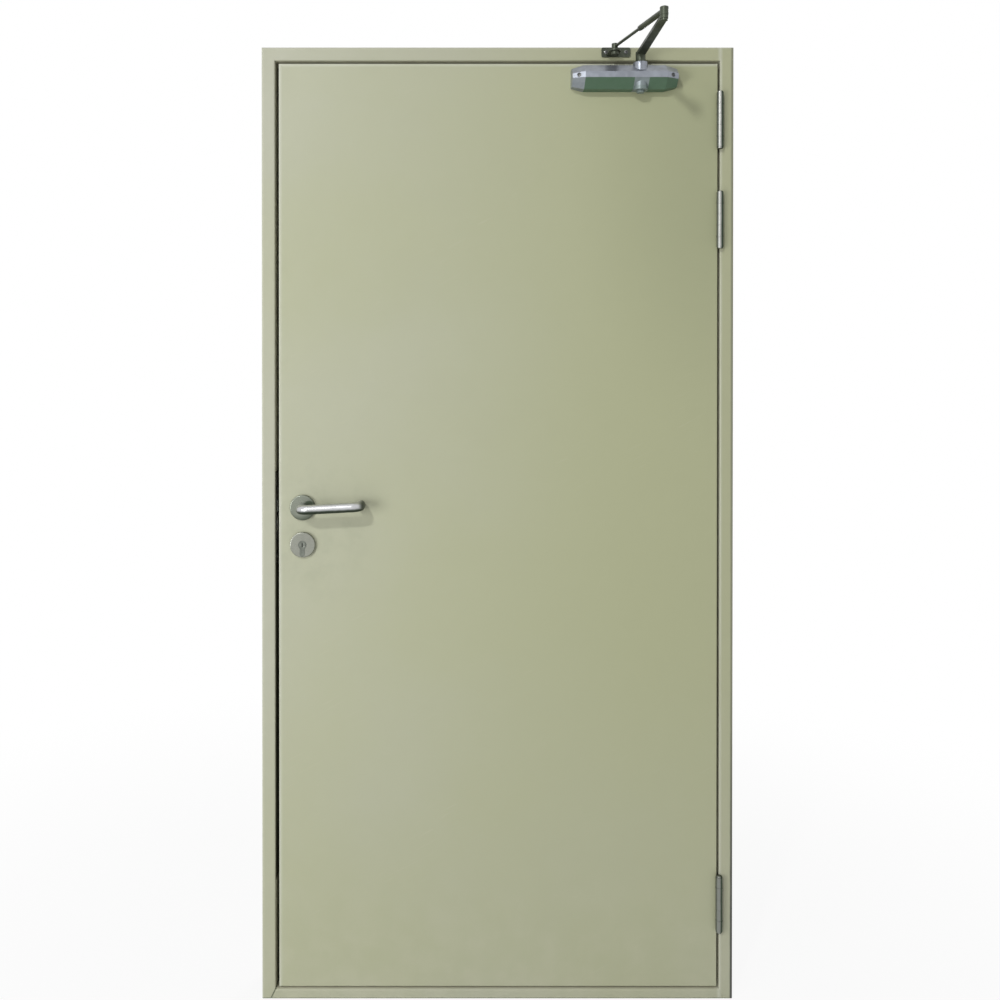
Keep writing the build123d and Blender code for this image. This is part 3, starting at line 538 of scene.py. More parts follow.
def node_group(name):
    """The shader node group of that name, built the first time it is asked for."""
    tree = bpy.data.node_groups.get(name)
    if tree:
        return tree
    build, inputs, outputs = GROUPS[name]
    tree = bpy.data.node_groups.new(name, "ShaderNodeTree")
    for direction, labels in (("INPUT", inputs), ("OUTPUT", outputs)):
        for label in labels:
            tree.interface.new_socket(label, in_out=direction,
                                      socket_type=KINDS.get(label, "NodeSocketFloat"))
    graph = Graph(tree)
    given = graph.outputs(graph.node("NodeGroupInput"))
    graph.place = given["Vector"]
    graph.node("NodeGroupOutput", build(graph, given))
    return tree


def empty_graph(owner):
    """The cleared node tree of a material or a world."""
    owner.use_nodes = True
    owner.node_tree.nodes.clear()
    return Graph(owner.node_tree)


def surface(graph, color, roughness, height, depth, metallic=0.0, specular=0.5):
    """The shader and its output, with bumps of a given depth made from a height."""
    bump = graph.read(0, "ShaderNodeBump", {"Height": height, "Strength": 1.0, "Distance": depth})
    shader = graph.read(0, "ShaderNodeBsdfPrincipled", {
        "Base Color": color, "Roughness": roughness, "Metallic": metallic,
        "Specular IOR Level": specular, "Normal": bump,
    })
    graph.node("ShaderNodeOutputMaterial", {"Surface": shader})


def shaded(color, share):
    """A colour made darker, or lighter, by a share."""
    return tuple(min(1.0, share * channel) for channel in color)


# Finishes


def powder_coat(graph, settings, tones, bands):
    """Powder coat on sheet steel: cloudy tone with a painted light tint across the door, pale
    dust laid strongly in the rebate as painted light, painted highlight bands, dust and orange
    peel. A band is a box's outline with its width and strength."""
    normal = graph.read("Normal", "ShaderNodeNewGeometry")
    across, depth, height = graph.parts(graph.place)
    warm, cool = tones
    # Painted light tint: cooler towards the lock side and the bottom, where the light from the left falls, and
    # warmer towards the top of the hinge side
    painted_light_warmth = across.ramp(-0.3, 0.35) * height.ramp(0.1, 0.8, 0.3, 1.0)
    first = graph.blend(1.0 - painted_light_warmth, warm, graph.blend(0.5, warm, cool))
    second = graph.blend(painted_light_warmth, cool, warm)
    paint = graph.group("Cloudy colour", scale=1.7, first=first, second=second)["Color"]
    # Pale dust in the rebate, laid on strongly as painted light: it lightens the walls of the shaded gap and the
    # leaf's edges
    inside = (depth.ramp(LEAF_LOW[1] + 2 * MM, LEAF_LOW[1] + 5 * MM)
              * depth.ramp(LEAF_HIGH[1] - 5 * MM, LEAF_HIGH[1] + 8 * MM, 1.0, 0.0))
    paint = graph.blend(inside * 0.9, paint, settings.dust)
    # Each band paints a highlight along edges that face the light, broken up by noise
    for low, high, width, strength in bands:
        band = graph.group("Border band", low=low, high=high, width=width)["Mask"]
        uneven = graph.noise(7.0, 4.0).ramp(0.3, 0.6, 0.6, 1.0)
        paint = graph.blend(band * uneven * strength, paint, settings.rubbed)
    dust = graph.group("Settled dust", normal=normal, reach=0.35)["Mask"]
    paint = graph.blend(dust * 0.35, paint, settings.dust)
    marks = graph.group("Fine scratches")["Mask"]
    paint = graph.blend(marks * 0.14, paint, settings.dust)
    peel = graph.group("Coat bumps", scale=1 / settings.peel_size, waves=3.0)["Height"]
    roughness = graph.noise(11.0, 3.0).ramp(0.3, 0.7, 0.38, 0.5) + dust * 0.25
    return paint, roughness, peel


def leaf_paint(graph, settings):
    """The leaf: a painted highlight along its lock side and top edges, hand marks round the lever,
    and painted shade in the corner below the closer."""
    # Painted highlight along the leaf's lock side and top edges
    edges = ((LEAF_LOW[0], 0.0, -1.0), (1.0, 0.0, LEAF_HIGH[2]), 8 * MM, 0.8)
    paint, roughness, peel = powder_coat(
        graph, settings, (settings.leaf_warm, settings.leaf_cool), (edges,))
    hand = graph.distance(LEVER_AXIS + (30 * MM, 0, -40 * MM), (1.0, 0.0, 0.8))
    marks = hand.ramp(0.05, 0.17, 1.0, 0.0) * graph.noise(24.0, 4.0, 0.6).ramp(0.4, 0.8)
    paint = graph.blend(marks * 0.1, paint, settings.grime)
    # Painted shade over the upper corner of the hinge side, below the closer
    corner = graph.distance((LEAF_HIGH[0], 0.0, LEAF_HIGH[2] - 0.25), (1.0, 0.0, 0.6))
    paint = graph.blend(corner.ramp(0.04, 0.34, 0.13, 0.0), paint, settings.grime)
    surface(graph, paint, roughness, peel, settings.peel_depth)


def frame_paint(graph, settings):
    """The frame: painted highlights along its lock side and top outer edges and the hinge
    side's inner edge, painted shadow at the feet, dark dirt along the lock side's slanted
    joint, and painted shade down the hinge side's outer edge."""
    # Painted highlights along the frame's lock side and top outer edges, and along the hinge side's inner edge
    outer = ((HEAD_LOW[0], 0.0, -1.0), (1.0, 0.0, HEAD_HIGH[2]), 5 * MM, 0.5)
    inner = ((-1.0, 0.0, -1.0), (OPENING_EDGE, 0.0, 3.0), 6 * MM, 0.6)
    paint, roughness, peel = powder_coat(
        graph, settings, (settings.frame_warm, settings.frame_cool), (outer, inner))
    x, y, z = graph.parts(graph.place)
    wobble = graph.noise(40.0, 3.0) * (2.2 * MM)
    # Painted shadow along the floor line at the feet
    foot = (z + wobble).ramp(1.5 * MM, 4.0 * MM, 0.55, 0.0)
    slant = x + (SILL_TOP - z) * 0.5
    joint = (abs(slant + OPENING_EDGE).ramp(0.8 * MM, 2.2 * MM, 0.7, 0.0)
             * z.ramp(SILL_TOP, SILL_TOP + 2 * MM, 1.0, 0.0))
    paint = graph.blend(most(foot, joint), paint, settings.grime)
    # Painted shade down the hinge side's outer edge, stronger towards the floor and on the front face
    edge = (x + wobble * 0.6).ramp(HEAD_HIGH[0] - 6 * MM, HEAD_HIGH[0] - 3.4 * MM)
    lower = z.ramp(0.15, 0.75, 1.0, 0.5)
    front = y.ramp(HEAD_LOW[1] + 4 * MM, HEAD_LOW[1] + 12 * MM, 1.0, 0.3)
    paint = graph.blend(edge * lower * front, paint, settings.joint)
    surface(graph, paint, roughness, peel, settings.peel_depth)


def drawn_rubber(graph, settings, color, bloom):
    """Extruded rubber: drawn lines along its length and a dusty bloom."""
    lines = graph.group("Brushed lines", stretch=(900.0, 900.0, 6.0))
    dusty = graph.noise(35.0, 4.0).ramp(0.45, 0.8, 0.0, bloom)
    surface(graph, graph.blend(dusty, color, settings.dust),
            lines["Shade"].ramp(0.0, 1.0, 0.55, 0.75), lines["Height"], 0.05 * MM, specular=0.35)


def seal_rubber(graph, settings):
    """The bulb seals."""
    drawn_rubber(graph, settings, settings.rubber, 0.25)


def strip_rubber(graph, settings):
    """The black strip at the lock side's edge."""
    drawn_rubber(graph, settings, settings.strip, 0.04)


def core_wool(graph, settings):
    """Pressed mineral wool: matted fibres in two directions."""
    along = graph.group("Brushed lines", stretch=(900.0, 500.0, 60.0))
    across = graph.group("Brushed lines", stretch=(60.0, 500.0, 900.0))
    fibres = most(along["Height"], across["Height"])
    color = graph.blend(fibres.ramp(0.4, 0.7), shaded(settings.wool, 0.45), settings.wool)
    surface(graph, color, 0.95, fibres, 0.8 * MM, specular=0.1)


def satin_metal(graph, color, stretch, polish, grime, film):
    """Brushed metal: lines along one way, whose roughness lies between two values, with
    cloudy patches and a dark colour laid where a mask says, which its callers use as painted shade."""
    lines = graph.group("Brushed lines", stretch=stretch)
    tint = graph.blend(lines["Shade"] * 0.25, color, (0.0, 0.0, 0.0))
    cloud = graph.noise(60.0, 3.0).ramp(0.3, 0.7)
    roughness = lines["Shade"].ramp(0.0, 1.0, *polish) + cloud * 0.06 + grime * 0.2
    surface(graph, graph.blend(grime, tint, film), roughness, lines["Height"], 0.03 * MM, 1.0)


def stainless(graph, settings):
    """Levers and covers: a bright bar with painted shade and dark reflection below and at
    its return, and duller covers on the leaf, with painted shadow at the neck and painted
    shade at the rim of the lever's one."""
    low, high = corners("front_lever")
    bar_thickness = 19.6 * MM
    x, y, z = graph.parts(graph.place)
    climb = (high[2] - low[2] - bar_thickness) / (high[0] - low[0])
    axis = (x - LEVER_AXIS[0]) * climb + LEVER_AXIS[2]
    wobble = graph.noise(90.0, 3.0) * (2.0 * MM)
    # Painted shade and dark reflection along the bar's underside, and at its return
    under = (axis - z + wobble).ramp(0.0, 6.0 * MM, 0.0, 0.95)
    tip = (x + wobble).ramp(high[0] - 13 * MM, high[0] - 3 * MM, 0.0, 0.85)
    cover_face = LEAF_MIDDLE_Y - corners("front_handle_rose")[0][1]
    cover = abs(y - LEAF_MIDDLE_Y).ramp(cover_face + 0.2 * MM, cover_face + 1.5 * MM, 1.0, 0.0)
    upper = z.ramp(CYLINDER_AXIS[2] + 30 * MM, CYLINDER_AXIS[2] + 40 * MM)
    dull = graph.blend(upper, settings.escutcheon, settings.rose)
    # Painted shadow right of the neck and painted shade round the rim, on the lever's rose only
    neck = graph.distance(LEVER_AXIS + (15 * MM, 0, 9 * MM), (0.75, 0.0, 1.3))
    rim = graph.distance(LEVER_AXIS + (-4 * MM, 0, 6 * MM), (1.0, 0.0, 1.0))
    marks = most(neck.ramp(5 * MM, 10 * MM, 0.8, 0.0), rim.ramp(20 * MM, 31 * MM, 0.0, 0.6))
    # The painted shade and shadow above, as one mask
    grime = most((1.0 - cover) * most(under, tip), cover * upper * marks)
    satin_metal(graph, graph.blend(cover, settings.stainless, dull), (30.0, 900.0, 1400.0),
                (0.22, 0.34), grime, shaded(settings.grime, 0.6))


def hinge_steel(graph, settings):
    """Hinges: satin along the barrel, with painted shade on the flank beside the jamb, fainter
    on the other flank and over the lower hinges.
    """
    x, y, z = graph.parts(graph.place)
    wobble = graph.noise(70.0, 3.0) * (1.2 * MM)
    across = x - HINGE_AXIS[0] + wobble
    in_front = y.ramp(LEAF_LOW[1] - 1 * MM, LEAF_LOW[1] + 1 * MM, 1.0, 0.0)
    # Painted shade on the barrel's flank beside the jamb, fainter on the other flank and over the lower hinges, on
    # the parts in front of the leaf
    right = across.ramp(0.6 * MM, 2.6 * MM, 0.0, 0.92)
    left = across.ramp(-4.8 * MM, -3.2 * MM, 0.5, 0.0)
    low = (z + wobble * 20.0).ramp(0.25, 0.6, 0.42, 0.0)
    satin_metal(graph, settings.hinge_metal, (1200.0, 1200.0, 25.0), (0.26, 0.4),
                in_front * most(most(right, left), low), shaded(settings.grime, 0.8))


def lock_steel(graph, settings):
    """Lock, bolts and strike: bright zinc with faint yellow and blue clouds."""
    red, green, blue = settings.zinc
    spangle = graph.group("Cloudy colour", scale=60.0, first=(red, green * 0.95, blue * 0.8),
                          second=(red * 0.86, green * 0.95, blue))
    lines = graph.group("Brushed lines", stretch=(700.0, 700.0, 30.0))
    surface(graph, spangle["Color"], graph.noise(45.0).ramp(0.3, 0.7, 0.28, 0.42),
            lines["Height"], 0.03 * MM, 1.0)


def cylinder_nickel(graph, settings):
    """The profile cylinder: matt nickel with a fine grain and a worn face."""
    cloud = graph.group("Cloudy colour", scale=120.0, first=settings.nickel,
                        second=shaded(settings.nickel, 0.75))
    grain = graph.group("Coat bumps", scale=1500.0, waves=0.5)
    surface(graph, cloud["Color"], graph.noise(200.0).ramp(0.3, 0.7, 0.36, 0.48),
            grain["Height"], 0.04 * MM, 0.9)


def closer_silver(graph, settings):
    """The closer: silver lacquer on a casting, with painted dark green reflection and shade on
    its lower faces that thins on the spindle's boss and on the left cap."""
    left_end = corners("closer_body")[0][0]
    centre = middle("closer_left_cap")[2]
    x, _, z = graph.parts(graph.place)
    wobble = graph.noise(30.0, 3.0) * (1.0 * MM)
    # Painted dark green reflection and shade on the lower faces, thinner on the boss and the left cap
    lower = (z + wobble).ramp(centre - 6.4 * MM, centre - 5.2 * MM, 0.9, 0.0)
    beside = abs(x - SPINDLE[0]).ramp(14.6 * MM, 15.6 * MM)
    below = z.ramp(centre - 21 * MM, centre - 18 * MM, 1.0, 0.0)
    left = x.ramp(left_end - 0.5 * MM, left_end + 0.5 * MM, 0.12, 1.0)
    film = lower * most(most(beside, below * 0.5), 0.35) * left
    cloud = graph.group("Cloudy colour", scale=70.0, first=settings.silver,
                        second=shaded(settings.silver, 0.86))
    bumps = graph.group("Coat bumps", scale=900.0, waves=0.8)
    roughness = graph.noise(50.0).ramp(0.3, 0.7, 0.3, 0.42) + film * 0.1
    surface(graph, graph.blend(film, cloud["Color"], settings.oil), roughness,
            bumps["Height"], 0.06 * MM, film.ramp(0.0, 0.8, 0.7, 0.1))


def arm_steel(graph, settings):
    """The arms and the shoe: dulled lacquer, paler in patches, with dust on top."""
    normal = graph.read("Normal", "ShaderNodeNewGeometry")
    worn = graph.group("Cloudy colour", scale=25.0, first=settings.arm,
                       second=shaded(settings.arm, 0.6))
    dust = graph.group("Settled dust", normal=normal, reach=0.01)["Mask"]
    bumps = graph.group("Coat bumps", scale=1100.0, waves=1.0)
    surface(graph, graph.blend(dust * 0.3, worn["Color"], settings.dust),
            graph.noise(60.0).ramp(0.3, 0.7, 0.34, 0.46), bumps["Height"], 0.06 * MM, 0.55)


def screw_steel(graph, settings):
    """Dark screws, worn bright in places."""
    rubbed = graph.noise(260.0, 3.0).ramp(0.45, 0.7)
    color = graph.blend(rubbed, shaded(settings.zinc, 0.2), shaded(settings.zinc, 0.5))
    grain = graph.group("Coat bumps", scale=2400.0, waves=0.3)
    surface(graph, color, rubbed.ramp(0.0, 1.0, 0.46, 0.3), grain["Height"], 0.03 * MM, 0.9)


FINISHES = {build.__name__: build for build in (
    leaf_paint, frame_paint, seal_rubber, strip_rubber, core_wool, stainless, hinge_steel,
    lock_steel, cylinder_nickel, closer_silver, arm_steel, screw_steel)}


def finish(slot):
    """The material of a slot, built the first time it is asked for."""
    name = slot + "_finish"
    made = bpy.data.materials.get(name)
    if made is None:
        made = bpy.data.materials.new(name)
        graph = empty_graph(made)
        graph.place = graph.read("Object", "ShaderNodeTexCoord")
        FINISHES[slot](graph, bpy.context.scene.door_finish)
    return made


# Operators


class DOOR_OT_finish_steel(Operator):
    """Give every CAD node the finish that the record names for it"""

    bl_idname = "door.finish_steel"
    bl_label = "Finish CAD nodes"

    def execute(self, context):
        for row in frame["record"]["subparts"]:
            node = frame["nodes"][row["node"]]
            material = finish(row["material_slot"])
            if not node.material_slots:
                node.data.materials.append(material)
            for slot in node.material_slots:
                slot.material = material
        return {"FINISHED"}


class DOOR_OT_fit_seals(Operator):
    """Fit the four bulb seals and the ribbed strip in the place of their plain solids"""

    bl_idname = "door.fit_seals"
    bl_label = "Seals"

    def execute(self, context):
        sizes = context.scene.door_fittings
        self.bulb_seals(sizes)
        self.edge_strip(sizes)
        return {"FINISHED"}

    def section(self, half_width, height, sizes):
        """A flat foot and a round nose: (across, towards the leaf) points, the nose an arc."""
        bulb, foot = sizes.seal_bulb, sizes.seal_foot
        centre = height - bulb - 0.1 * MM
        turn = np.radians(np.linspace(-40, 220, 27))
        arc = np.stack([bulb * np.cos(turn), centre + bulb * np.sin(turn)], axis=-1)
        start = [(-half_width, 0.0), (half_width, 0.0), (half_width, foot * 0.7),
                 (half_width - 0.6 * MM, foot), (bulb, foot)]
        end = [(-bulb, foot), (0.6 * MM - half_width, foot), (-half_width, foot * 0.7)]
        return np.array([*start, *arc, *end])

    def bulb_seals(self, sizes):
        """Carries the section round the opening. Each corner ring lies on the mitre: a
        point moves outwards by the same amount in X and in Z."""
        sill, head = middle("threshold_seal"), middle("head_seal")
        side = middle("hinge_jamb_seal")
        low, high = corners("hinge_jamb_seal")
        outline = self.section((high[0] - low[0]) / 2, high[1] - low[1], sizes)
        out, towards = outline[:, 0], outline[:, 1]
        rings = {}
        for across in (-1, 1):
            for upward, height in ((-1, sill[2]), (1, head[2])):
                rings[across, upward] = np.stack([
                    across * (side[0] + out), high[1] - towards, height + upward * out], axis=-1)
        runs = {
            "head_seal": ((-1, 1), (1, 1)),
            "threshold_seal": ((-1, -1), (1, -1)),
            "lock_jamb_seal": ((-1, -1), (-1, 1)),
            "hinge_jamb_seal": ((1, -1), (1, 1)),
        }
        for node, (start, end) in runs.items():
            shell = closed_shell([rings[start], rings[end]])
            make_piece(node.replace("seal", "bulb_seal"), [shell], "frame", "seal_rubber", (node,))

    def edge_strip(self, sizes):
        """Ribs across the strip's depth: its thickness is a base plus the size of a
        cosine. The strip leaves a window round the strike plate."""
        low, high = corners("edge_seal_strip")
        strike_low, strike_high = corners("strike_plate")
        gap = 1.0 * MM
        window = (strike_low[2] - gap, min(strike_high[2] + gap, high[2] - gap))
        bands = [
            (low[1], high[1], low[2], window[0]),
            (low[1], high[1], window[1], high[2]),
            (low[1], strike_low[1] - gap, *window),
            (strike_high[1] + gap, high[1], *window),
        ]
        shells = []
        for front, rear, bottom, top in bands:
            depth = np.arange(front, rear, sizes.strip_rib / 8)
            wave = abs(np.cos(math.pi * (depth - low[1]) / sizes.strip_rib))
            thickness = (high[0] - low[0]) * (0.55 + 0.45 * wave)
            wall, nose = np.full_like(depth, low[0]), low[0] + thickness
            shells.append(closed_shell(np.stack([
                np.stack([across, depth, np.full_like(depth, height)], axis=-1)
                for across, height in ((wall, bottom), (nose, bottom), (nose, top), (wall, top))
            ], axis=1)))
        make_piece("ribbed_edge_strip", shells, "frame", "strip_rubber", ("edge_seal_strip",))


class DOOR_OT_fit_hinge_screws(Operator):
    """Fit countersunk screws to both plates of the three hinges"""

    bl_idname = "door.fit_hinge_screws"
    bl_label = "Hinge screws"

    def execute(self, context):
        sizes = context.scene.door_fittings
        thick, jamb_inset, leaf_inset = 2 * MM, 11 * MM, 20 * MM
        for place in PLACES:
            jamb, leaf = place + "_hinge_jamb_plate", place + "_hinge_leaf_plate"
            self.screws(jamb, "frame", TO_LOCK, OPENING_EDGE - thick, jamb_inset, sizes)
            self.screws(leaf, "leaf", TO_HINGES, LEAF_HIGH[0] + thick, leaf_inset, sizes)
        return {"FINISHED"}

    def screws(self, node, body, normal, face, inset, sizes):
        """Screws in a zigzag down the plate, on the face that looks into the gap."""
        low, high = corners(node)
        near_rear, near_front = 9 * MM, 23 * MM
        depths = (high[1] - near_rear, high[1] - near_front)
        heights = np.linspace(low[2] + inset, high[2] - inset, sizes.hinge_screws)
        shells = [
            cross_screw((face, depths[number % 2], height), normal, sizes.hinge_screw,
                        sizes.hinge_screw_rise, 0.3 + 0.7 * number)
            for number, height in enumerate(heights)
        ]
        make_piece(node.replace("plate", "screws"), shells, body, "hinge_steel")


class DOOR_OT_fit_lock_details(Operator):
    """Fit the plates' screws, the cylinder's plugs, the grub screws and the strike box"""

    bl_idname = "door.fit_lock_details"
    bl_label = "Lock details"

    def execute(self, context):
        sizes = context.scene.door_fittings
        self.plate_screws(sizes)
        self.plugs(sizes)
        self.grub_screws()
        self.strike_box()
        return {"FINISHED"}

    def plate_screws(self, sizes):
        """One screw near each end of the forend and of the strike plate."""
        rise = 0.5 * MM
        plates = (
            ("forend_screws", "mortice_lock", "leaf", TO_LOCK, 9 * MM),
            ("strike_screws", "strike_plate", "frame", TO_HINGES, 13 * MM),
        )
        for name, node, body, normal, inset in plates:
            low, high = corners(node)
            face = low[0] if normal == TO_LOCK else high[0]
            shells = [
                cross_screw((face, LEAF_MIDDLE_Y, height), normal, sizes.lock_screw, rise, turn)
                for height, turn in ((low[2] + inset, 0.2), (high[2] - inset, 1.0))
            ]
            make_piece(name, shells, body, "lock_steel")

    def plugs(self, sizes):
        """A thin ring round each keyway: circle outside, keyway inside, edges chamfered."""
        low, high = corners("lock_cylinder")
        round_radius, length, width, corner = 8.5 * MM, 9.2 * MM, 2.6 * MM, 0.5 * MM
        chamfer, side, top = 0.3 * MM, 0.3 * MM, 0.5 * MM
        keyway = bar(length, width, corner)
        rings = [
            (keyway, 0.0),
            (circle(sizes.plug), 0.0),
            (circle(sizes.plug), side),
            (circle(sizes.plug - 2 * chamfer), top),
            (bar(length + 2 * chamfer, width + 2 * chamfer, corner), top),
            (keyway, side),
        ]
        for name, normal, face in (("front_plug", FRONT, low[1]), ("rear_plug", REAR, high[1])):
            origin = (LEVER_AXIS[0], face, high[2] - round_radius)
            shell = solid(rings, origin, normal, math.pi / 2, joined=True)
            make_piece(name, [shell], "leaf", "cylinder_nickel")

    def grub_screws(self):
        """A small socket screw under each lever's neck."""
        neck_radius, out, wide, rise = 9.75 * MM, 6 * MM, 4 * MM, 0.25 * MM
        depth = corners("front_handle_rose")[0][1] - out
        shells = [
            socket_screw((LEVER_AXIS[0], y, LEVER_AXIS[2] - neck_radius), DOWN, wide, rise)
            for y in (depth, 2 * LEAF_MIDDLE_Y - depth)
        ]
        make_piece("lever_grub_screws", shells, "levers", "screw_steel")

    def strike_box(self):
        """A thin box behind the strike that the bolts enter, open towards the leaf: a
        rounded rectangle drawn from the inner bottom to the rim and back outside."""
        low, high = corners("strike_plate")
        end, width, deep, wall, corner = 14 * MM, 25 * MM, 17 * MM, 1 * MM, 4 * MM
        height = high[2] - low[2] - 2 * end
        inner = bar(height - 2 * wall, width - 2 * wall, corner - wall)
        outer = bar(height, width, corner)
        rings = [(inner, deep - wall), (inner, 0.0), (outer, 0.0), (outer, deep)]
        origin = (low[0] - SHEET, LEAF_MIDDLE_Y, (low[2] + high[2]) / 2)
        shell = solid(rings, origin, TO_LOCK, math.pi / 2)
        make_piece("strike_box", [shell], "frame", "lock_steel")


class DOOR_OT_fit_closer_details(Operator):
    """Fit the closer's adjusting, spindle, elbow and shoe screws and the lock nut"""

    bl_idname = "door.fit_closer_details"
    bl_label = "Closer details"

    def execute(self, context):
        sizes = context.scene.door_fittings
        self.valves(sizes)
        self.arm_screws(sizes)
        self.shoe_screws()
        self.lock_nut(sizes)
        return {"FINISHED"}

    def valves(self, sizes):
        """A slotted screw on the floor of the recess in each cap's slanted front."""
        for name, side in (("left", -1), ("right", 1)):
            low, high = corners("closer_" + name + "_cap")
            fall = (high[1] - low[1]) * (1 - sizes.cap_taper)
            normal = np.array([side * fall, low[0] - high[0], 0.0])
            normal /= np.linalg.norm(normal)
            origin = np.array([(low[0] + high[0]) / 2, low[1] + fall / 2, (low[2] + high[2]) / 2])
            shell = slotted_screw(origin - normal * sizes.cap_recess, normal, sizes.valve,
                                  sizes.cap_recess * 0.8, 0.9)
            make_piece("closer_" + name + "_valve", [shell], "leaf", "screw_steel")

    def arm_screws(self, sizes):
        """The screw and washer on the spindle, and the screw in the elbow."""
        x, y, top = SPINDLE[0], SPINDLE[1], corners("main_arm")[1][2]
        thin, wide, rise = 0.6 * MM, 17 * MM, 1.6 * MM
        shells = [
            washer((x, y, top), UP, wide, 5 * MM, thin),
            socket_screw((x, y, top + thin), UP, sizes.spindle_screw, rise),
        ]
        make_piece("spindle_screw", shells, "arm", "screw_steel")
        low, high = corners("elbow_bolt")
        x, y = (low[:2] + high[:2]) / 2
        wide = high[0] - low[0]
        shells = [
            washer((x, y, low[2]), UP, wide, 4 * MM, thin),
            socket_screw((x, y, low[2] + thin), UP, wide * 0.86, high[2] - low[2] - thin),
        ]
        make_piece("elbow_screw", shells, "forearm", "screw_steel", ("elbow_bolt",))

    def shoe_screws(self):
        """Two cross recessed pan heads on the shoe's plate."""
        low, high = corners("closer_shoe_screws")
        wide = high[2] - low[2]
        shells = [
            cross_screw((x, high[1], (low[2] + high[2]) / 2), FRONT, wide, high[1] - low[1], turn)
            for x, turn in ((low[0] + wide / 2, 0.2), (high[0] - wide / 2, 0.9))
        ]
        make_piece("shoe_screws", shells, "frame", "screw_steel", ("closer_shoe_screws",))

    def lock_nut(self, sizes):
        """A hexagon nut where the rod enters the tube, its corners chamfered."""
        elbow = middle("elbow_bolt")
        joint = next(row for row in frame["joints"] if row["name"] == "forearm_turn")
        run = np.array([*(joint["pos_m"][:2] - elbow[:2]), 0.0])
        length = np.linalg.norm(run)
        run /= length
        start = np.array([*elbow[:2], middle("forearm_rod")[2]]) + run * length * sizes.tube_share
        bore, full = circle(6.1 * MM), hexagon(sizes.lock_nut)
        chamfered = hexagon(sizes.lock_nut, 1.04)
        near, far, chamfer = 0.1 * MM, 4.5 * MM, 0.8 * MM
        rings = [(bore, near), (chamfered, near), (full, near + chamfer), (full, far - chamfer),
                 (chamfered, far), (bore, far)]
        shell = solid(rings, start, run, joined=True)
        make_piece("forearm_lock_nut", [shell], "forearm", "screw_steel")


class DOOR_OT_fit_wall_side(Operator):
    """Fit the hinges' backing plates, the welds at the feet and the wall fixings' sleeves"""

    bl_idname = "door.fit_wall_side"
    bl_label = "Wall side of the frame"

    def execute(self, context):
        sizes = context.scene.door_fittings
        self.backing_plates(sizes)
        self.corner_welds()
        self.sleeves(sizes)
        return {"FINISHED"}

    def backing_plates(self, sizes):
        """A plate inside the jamb behind each hinge."""
        margin, past = 5 * MM, 8 * MM
        depth = LEAF_HIGH[1] - LEAF_LOW[1] - 2 * margin
        for place in PLACES:
            low, high = corners(place + "_hinge_jamb_plate")
            origin = (OPENING_EDGE + SHEET + sizes.backing / 2, LEAF_MIDDLE_Y, low[2] - past)
            shell = plate(origin, UP, sizes.backing, depth, high[2] - low[2] + 2 * past)
            make_piece(place + "_hinge_backing", [shell], "frame", "frame_paint")

    def corner_welds(self):
        """A filled joint at each foot: a slanted sheet from the face to the rebate, in the
        middle of the joint between jamb and threshold."""
        wide, below, half_joint = 1.2 * MM, 0.3 * MM, 0.5 * MM
        front, rear = HEAD_LOW[1] + below, corners("threshold_seal")[1][1]
        shells = []
        for side in (-1, 1):
            foot = np.array([side * (SILL_END + half_joint), (front + rear) / 2, 0.0])
            top = np.array([side * (OPENING_EDGE - half_joint), (front + rear) / 2, SILL_TOP])
            length = np.linalg.norm(top - foot)
            run = (top - foot) / length
            shells.append(plate(foot + run * below, run, rear - front, wide, length - 2 * below))
        make_piece("corner_welds", shells, "frame", "frame_paint")

    def sleeves(self, sizes):
        """A tube from each fixing hole to the wall."""
        mounts = [row for row in frame["record"]["mounts"] if row["kind"] == "bolt_pattern"]
        for side, normal in (("lock", TO_LOCK), ("hinge", TO_HINGES)):
            shells = []
            for row in mounts:
                if not row["name"].startswith(side):
                    continue
                x, y, z = row["pos_m"]
                bore = 2 * row["dims"]["hole_r_mm"] * MM
                reach = HEAD_HIGH[0] - abs(x) - SHEET
                half = row["dims"]["spacing_y_mm"] * MM / 2
                shells += [
                    tube((x + normal[0] * SHEET, y, height), normal, sizes.sleeve, bore, reach)
                    for height in (z - half, z + half)
                ]
            make_piece(side + "_jamb_sleeves", shells, "frame", "frame_paint")


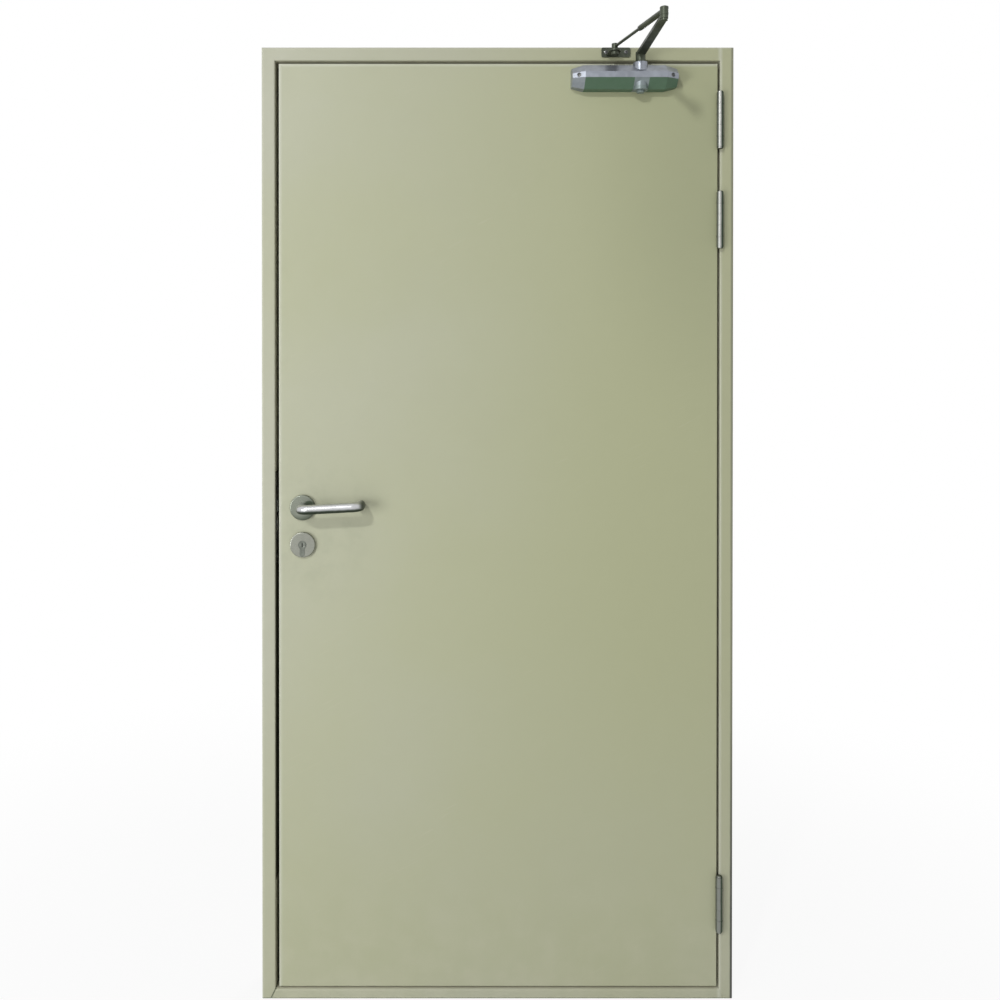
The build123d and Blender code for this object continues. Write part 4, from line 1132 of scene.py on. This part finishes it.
class DOOR_OT_set_studio(Operator):
    """Set the camera, the lamps, the pale floor and the even light all round"""

    bl_idname = "door.set_studio"
    bl_label = "Studio"

    def execute(self, context):
        studio = context.scene.door_studio
        self.floor()
        self.sky(context, studio)
        for name, place, size, power in (
            ("key_lamp", (-2.47, -5.4, 4.58), 0.45, studio.key_power),
            ("fill_lamp", (-2.3, -2.4, 1.0), 1.2, studio.fill_power),
            ("rear_lamp", (1.9, 4.4, 3.6), 1.6, studio.rear_power),
        ):
            self.lamp(name, place, size, power)
        self.camera(context, studio)
        context.scene.view_settings.view_transform = "Standard"
        return {"FINISHED"}

    def seen(self, graph):
        """1 for what the camera sees directly, in a mirror or through glass."""
        path = graph.outputs(graph.node("ShaderNodeLightPath"))
        mirrored = most(path["Is Glossy Ray"], path["Is Transmission Ray"])
        return most(path["Is Camera Ray"], mirrored)

    def floor(self):
        """A wide pale floor that keeps a soft shadow near the door and is white beyond."""
        half = 30.0
        mesh = bpy.data.meshes.new("studio_floor")
        mesh.from_pydata([(-half, -half, 0), (half, -half, 0), (half, half, 0), (-half, half, 0)],
                         [], [(0, 1, 2, 3)])
        link_object("studio_floor", mesh)
        material = bpy.data.materials.new("studio_floor_finish")
        graph = empty_graph(material)
        graph.place = graph.read("Object", "ShaderNodeTexCoord")
        pale = graph.read(0, "ShaderNodeBsdfDiffuse", {"Color": (0.8, 0.8, 0.8)})
        white = graph.read(0, "ShaderNodeEmission", {"Color": (1.0, 1.0, 1.0), "Strength": 1.0})
        away = graph.distance((0.0, 0.0, 0.0), (1.0, 1.0, 1.0))
        share = self.seen(graph) * away.ramp(0.6, 2.4, 0.9, 1.0)
        mixed = graph.read(0, "ShaderNodeMixShader", {0: share, 1: pale, 2: white})
        graph.node("ShaderNodeOutputMaterial", {"Surface": mixed})
        mesh.materials.append(material)

    def sky(self, context, studio):
        """Even light from all round, white where it is seen."""
        world = bpy.data.worlds.new("studio_sky")
        context.scene.world = world
        graph = empty_graph(world)
        strength = self.seen(graph) * (1.0 - studio.sky) + studio.sky
        light = graph.read(0, "ShaderNodeBackground",
                           {"Color": (1.0, 1.0, 1.0), "Strength": strength})
        graph.node("ShaderNodeOutputWorld", {"Surface": light})

    def lamp(self, name, place, size, power):
        """A square soft lamp that looks at the middle of the door."""
        data = bpy.data.lights.new(name, "AREA")
        data.size = size
        data.energy = power
        lamp = link_object(name, data)
        aim = Vector((0.0, 0.0, 1.1)) - Vector(place)
        lamp.location = place
        lamp.rotation_euler = aim.to_track_quat("-Z", "Y").to_euler()

    def camera(self, context, studio):
        """A camera left of the middle at eye height, its lens shifted to frame the door."""
        data = bpy.data.cameras.new("door_camera")
        data.sensor_width = data.lens = 36.0
        data.shift_x = studio.shift_x
        data.shift_y = studio.shift_y
        camera = link_object("door_camera", data)
        camera.location = studio.camera_place
        camera.rotation_euler = (math.pi / 2 - studio.camera_pitch, 0.0, 0.0)
        context.scene.camera = camera


STEPS = (
    DOOR_OT_finish_steel,
    DOOR_OT_fit_seals,
    DOOR_OT_fit_hinge_screws,
    DOOR_OT_fit_lock_details,
    DOOR_OT_fit_closer_details,
    DOOR_OT_fit_wall_side,
    DOOR_OT_set_studio,
)


class DOOR_PT_sidebar(Panel):
    """Lists the door's steps and settings"""

    bl_idname = "DOOR_PT_sidebar"
    bl_label = "Soundproof Door"
    bl_space_type = "VIEW_3D"
    bl_region_type = "UI"
    bl_category = "Door"

    def draw(self, context):
        for step in STEPS:
            self.layout.operator(step.bl_idname)
        for group, kind in SETTINGS.items():
            column = self.layout.column()
            for name in kind.__annotations__:
                column.prop(getattr(context.scene, group), name)


SETTINGS = {"door_finish": DoorFinish, "door_fittings": DoorFittings, "door_studio": DoorStudio}
CLASSES = (*SETTINGS.values(), *STEPS, DOOR_PT_sidebar)


def register():
    for cls in CLASSES:
        bpy.utils.register_class(cls)
    for name, settings in SETTINGS.items():
        setattr(bpy.types.Scene, name, PointerProperty(type=settings))


def unregister():
    for name in SETTINGS:
        delattr(bpy.types.Scene, name)
    for cls in reversed(CLASSES):
        bpy.utils.unregister_class(cls)


def main():
    register()
    for step in STEPS:
        area, name = step.bl_idname.split(".")
        getattr(getattr(bpy.ops, area), name)()


if __name__ == "__main__":
    main()
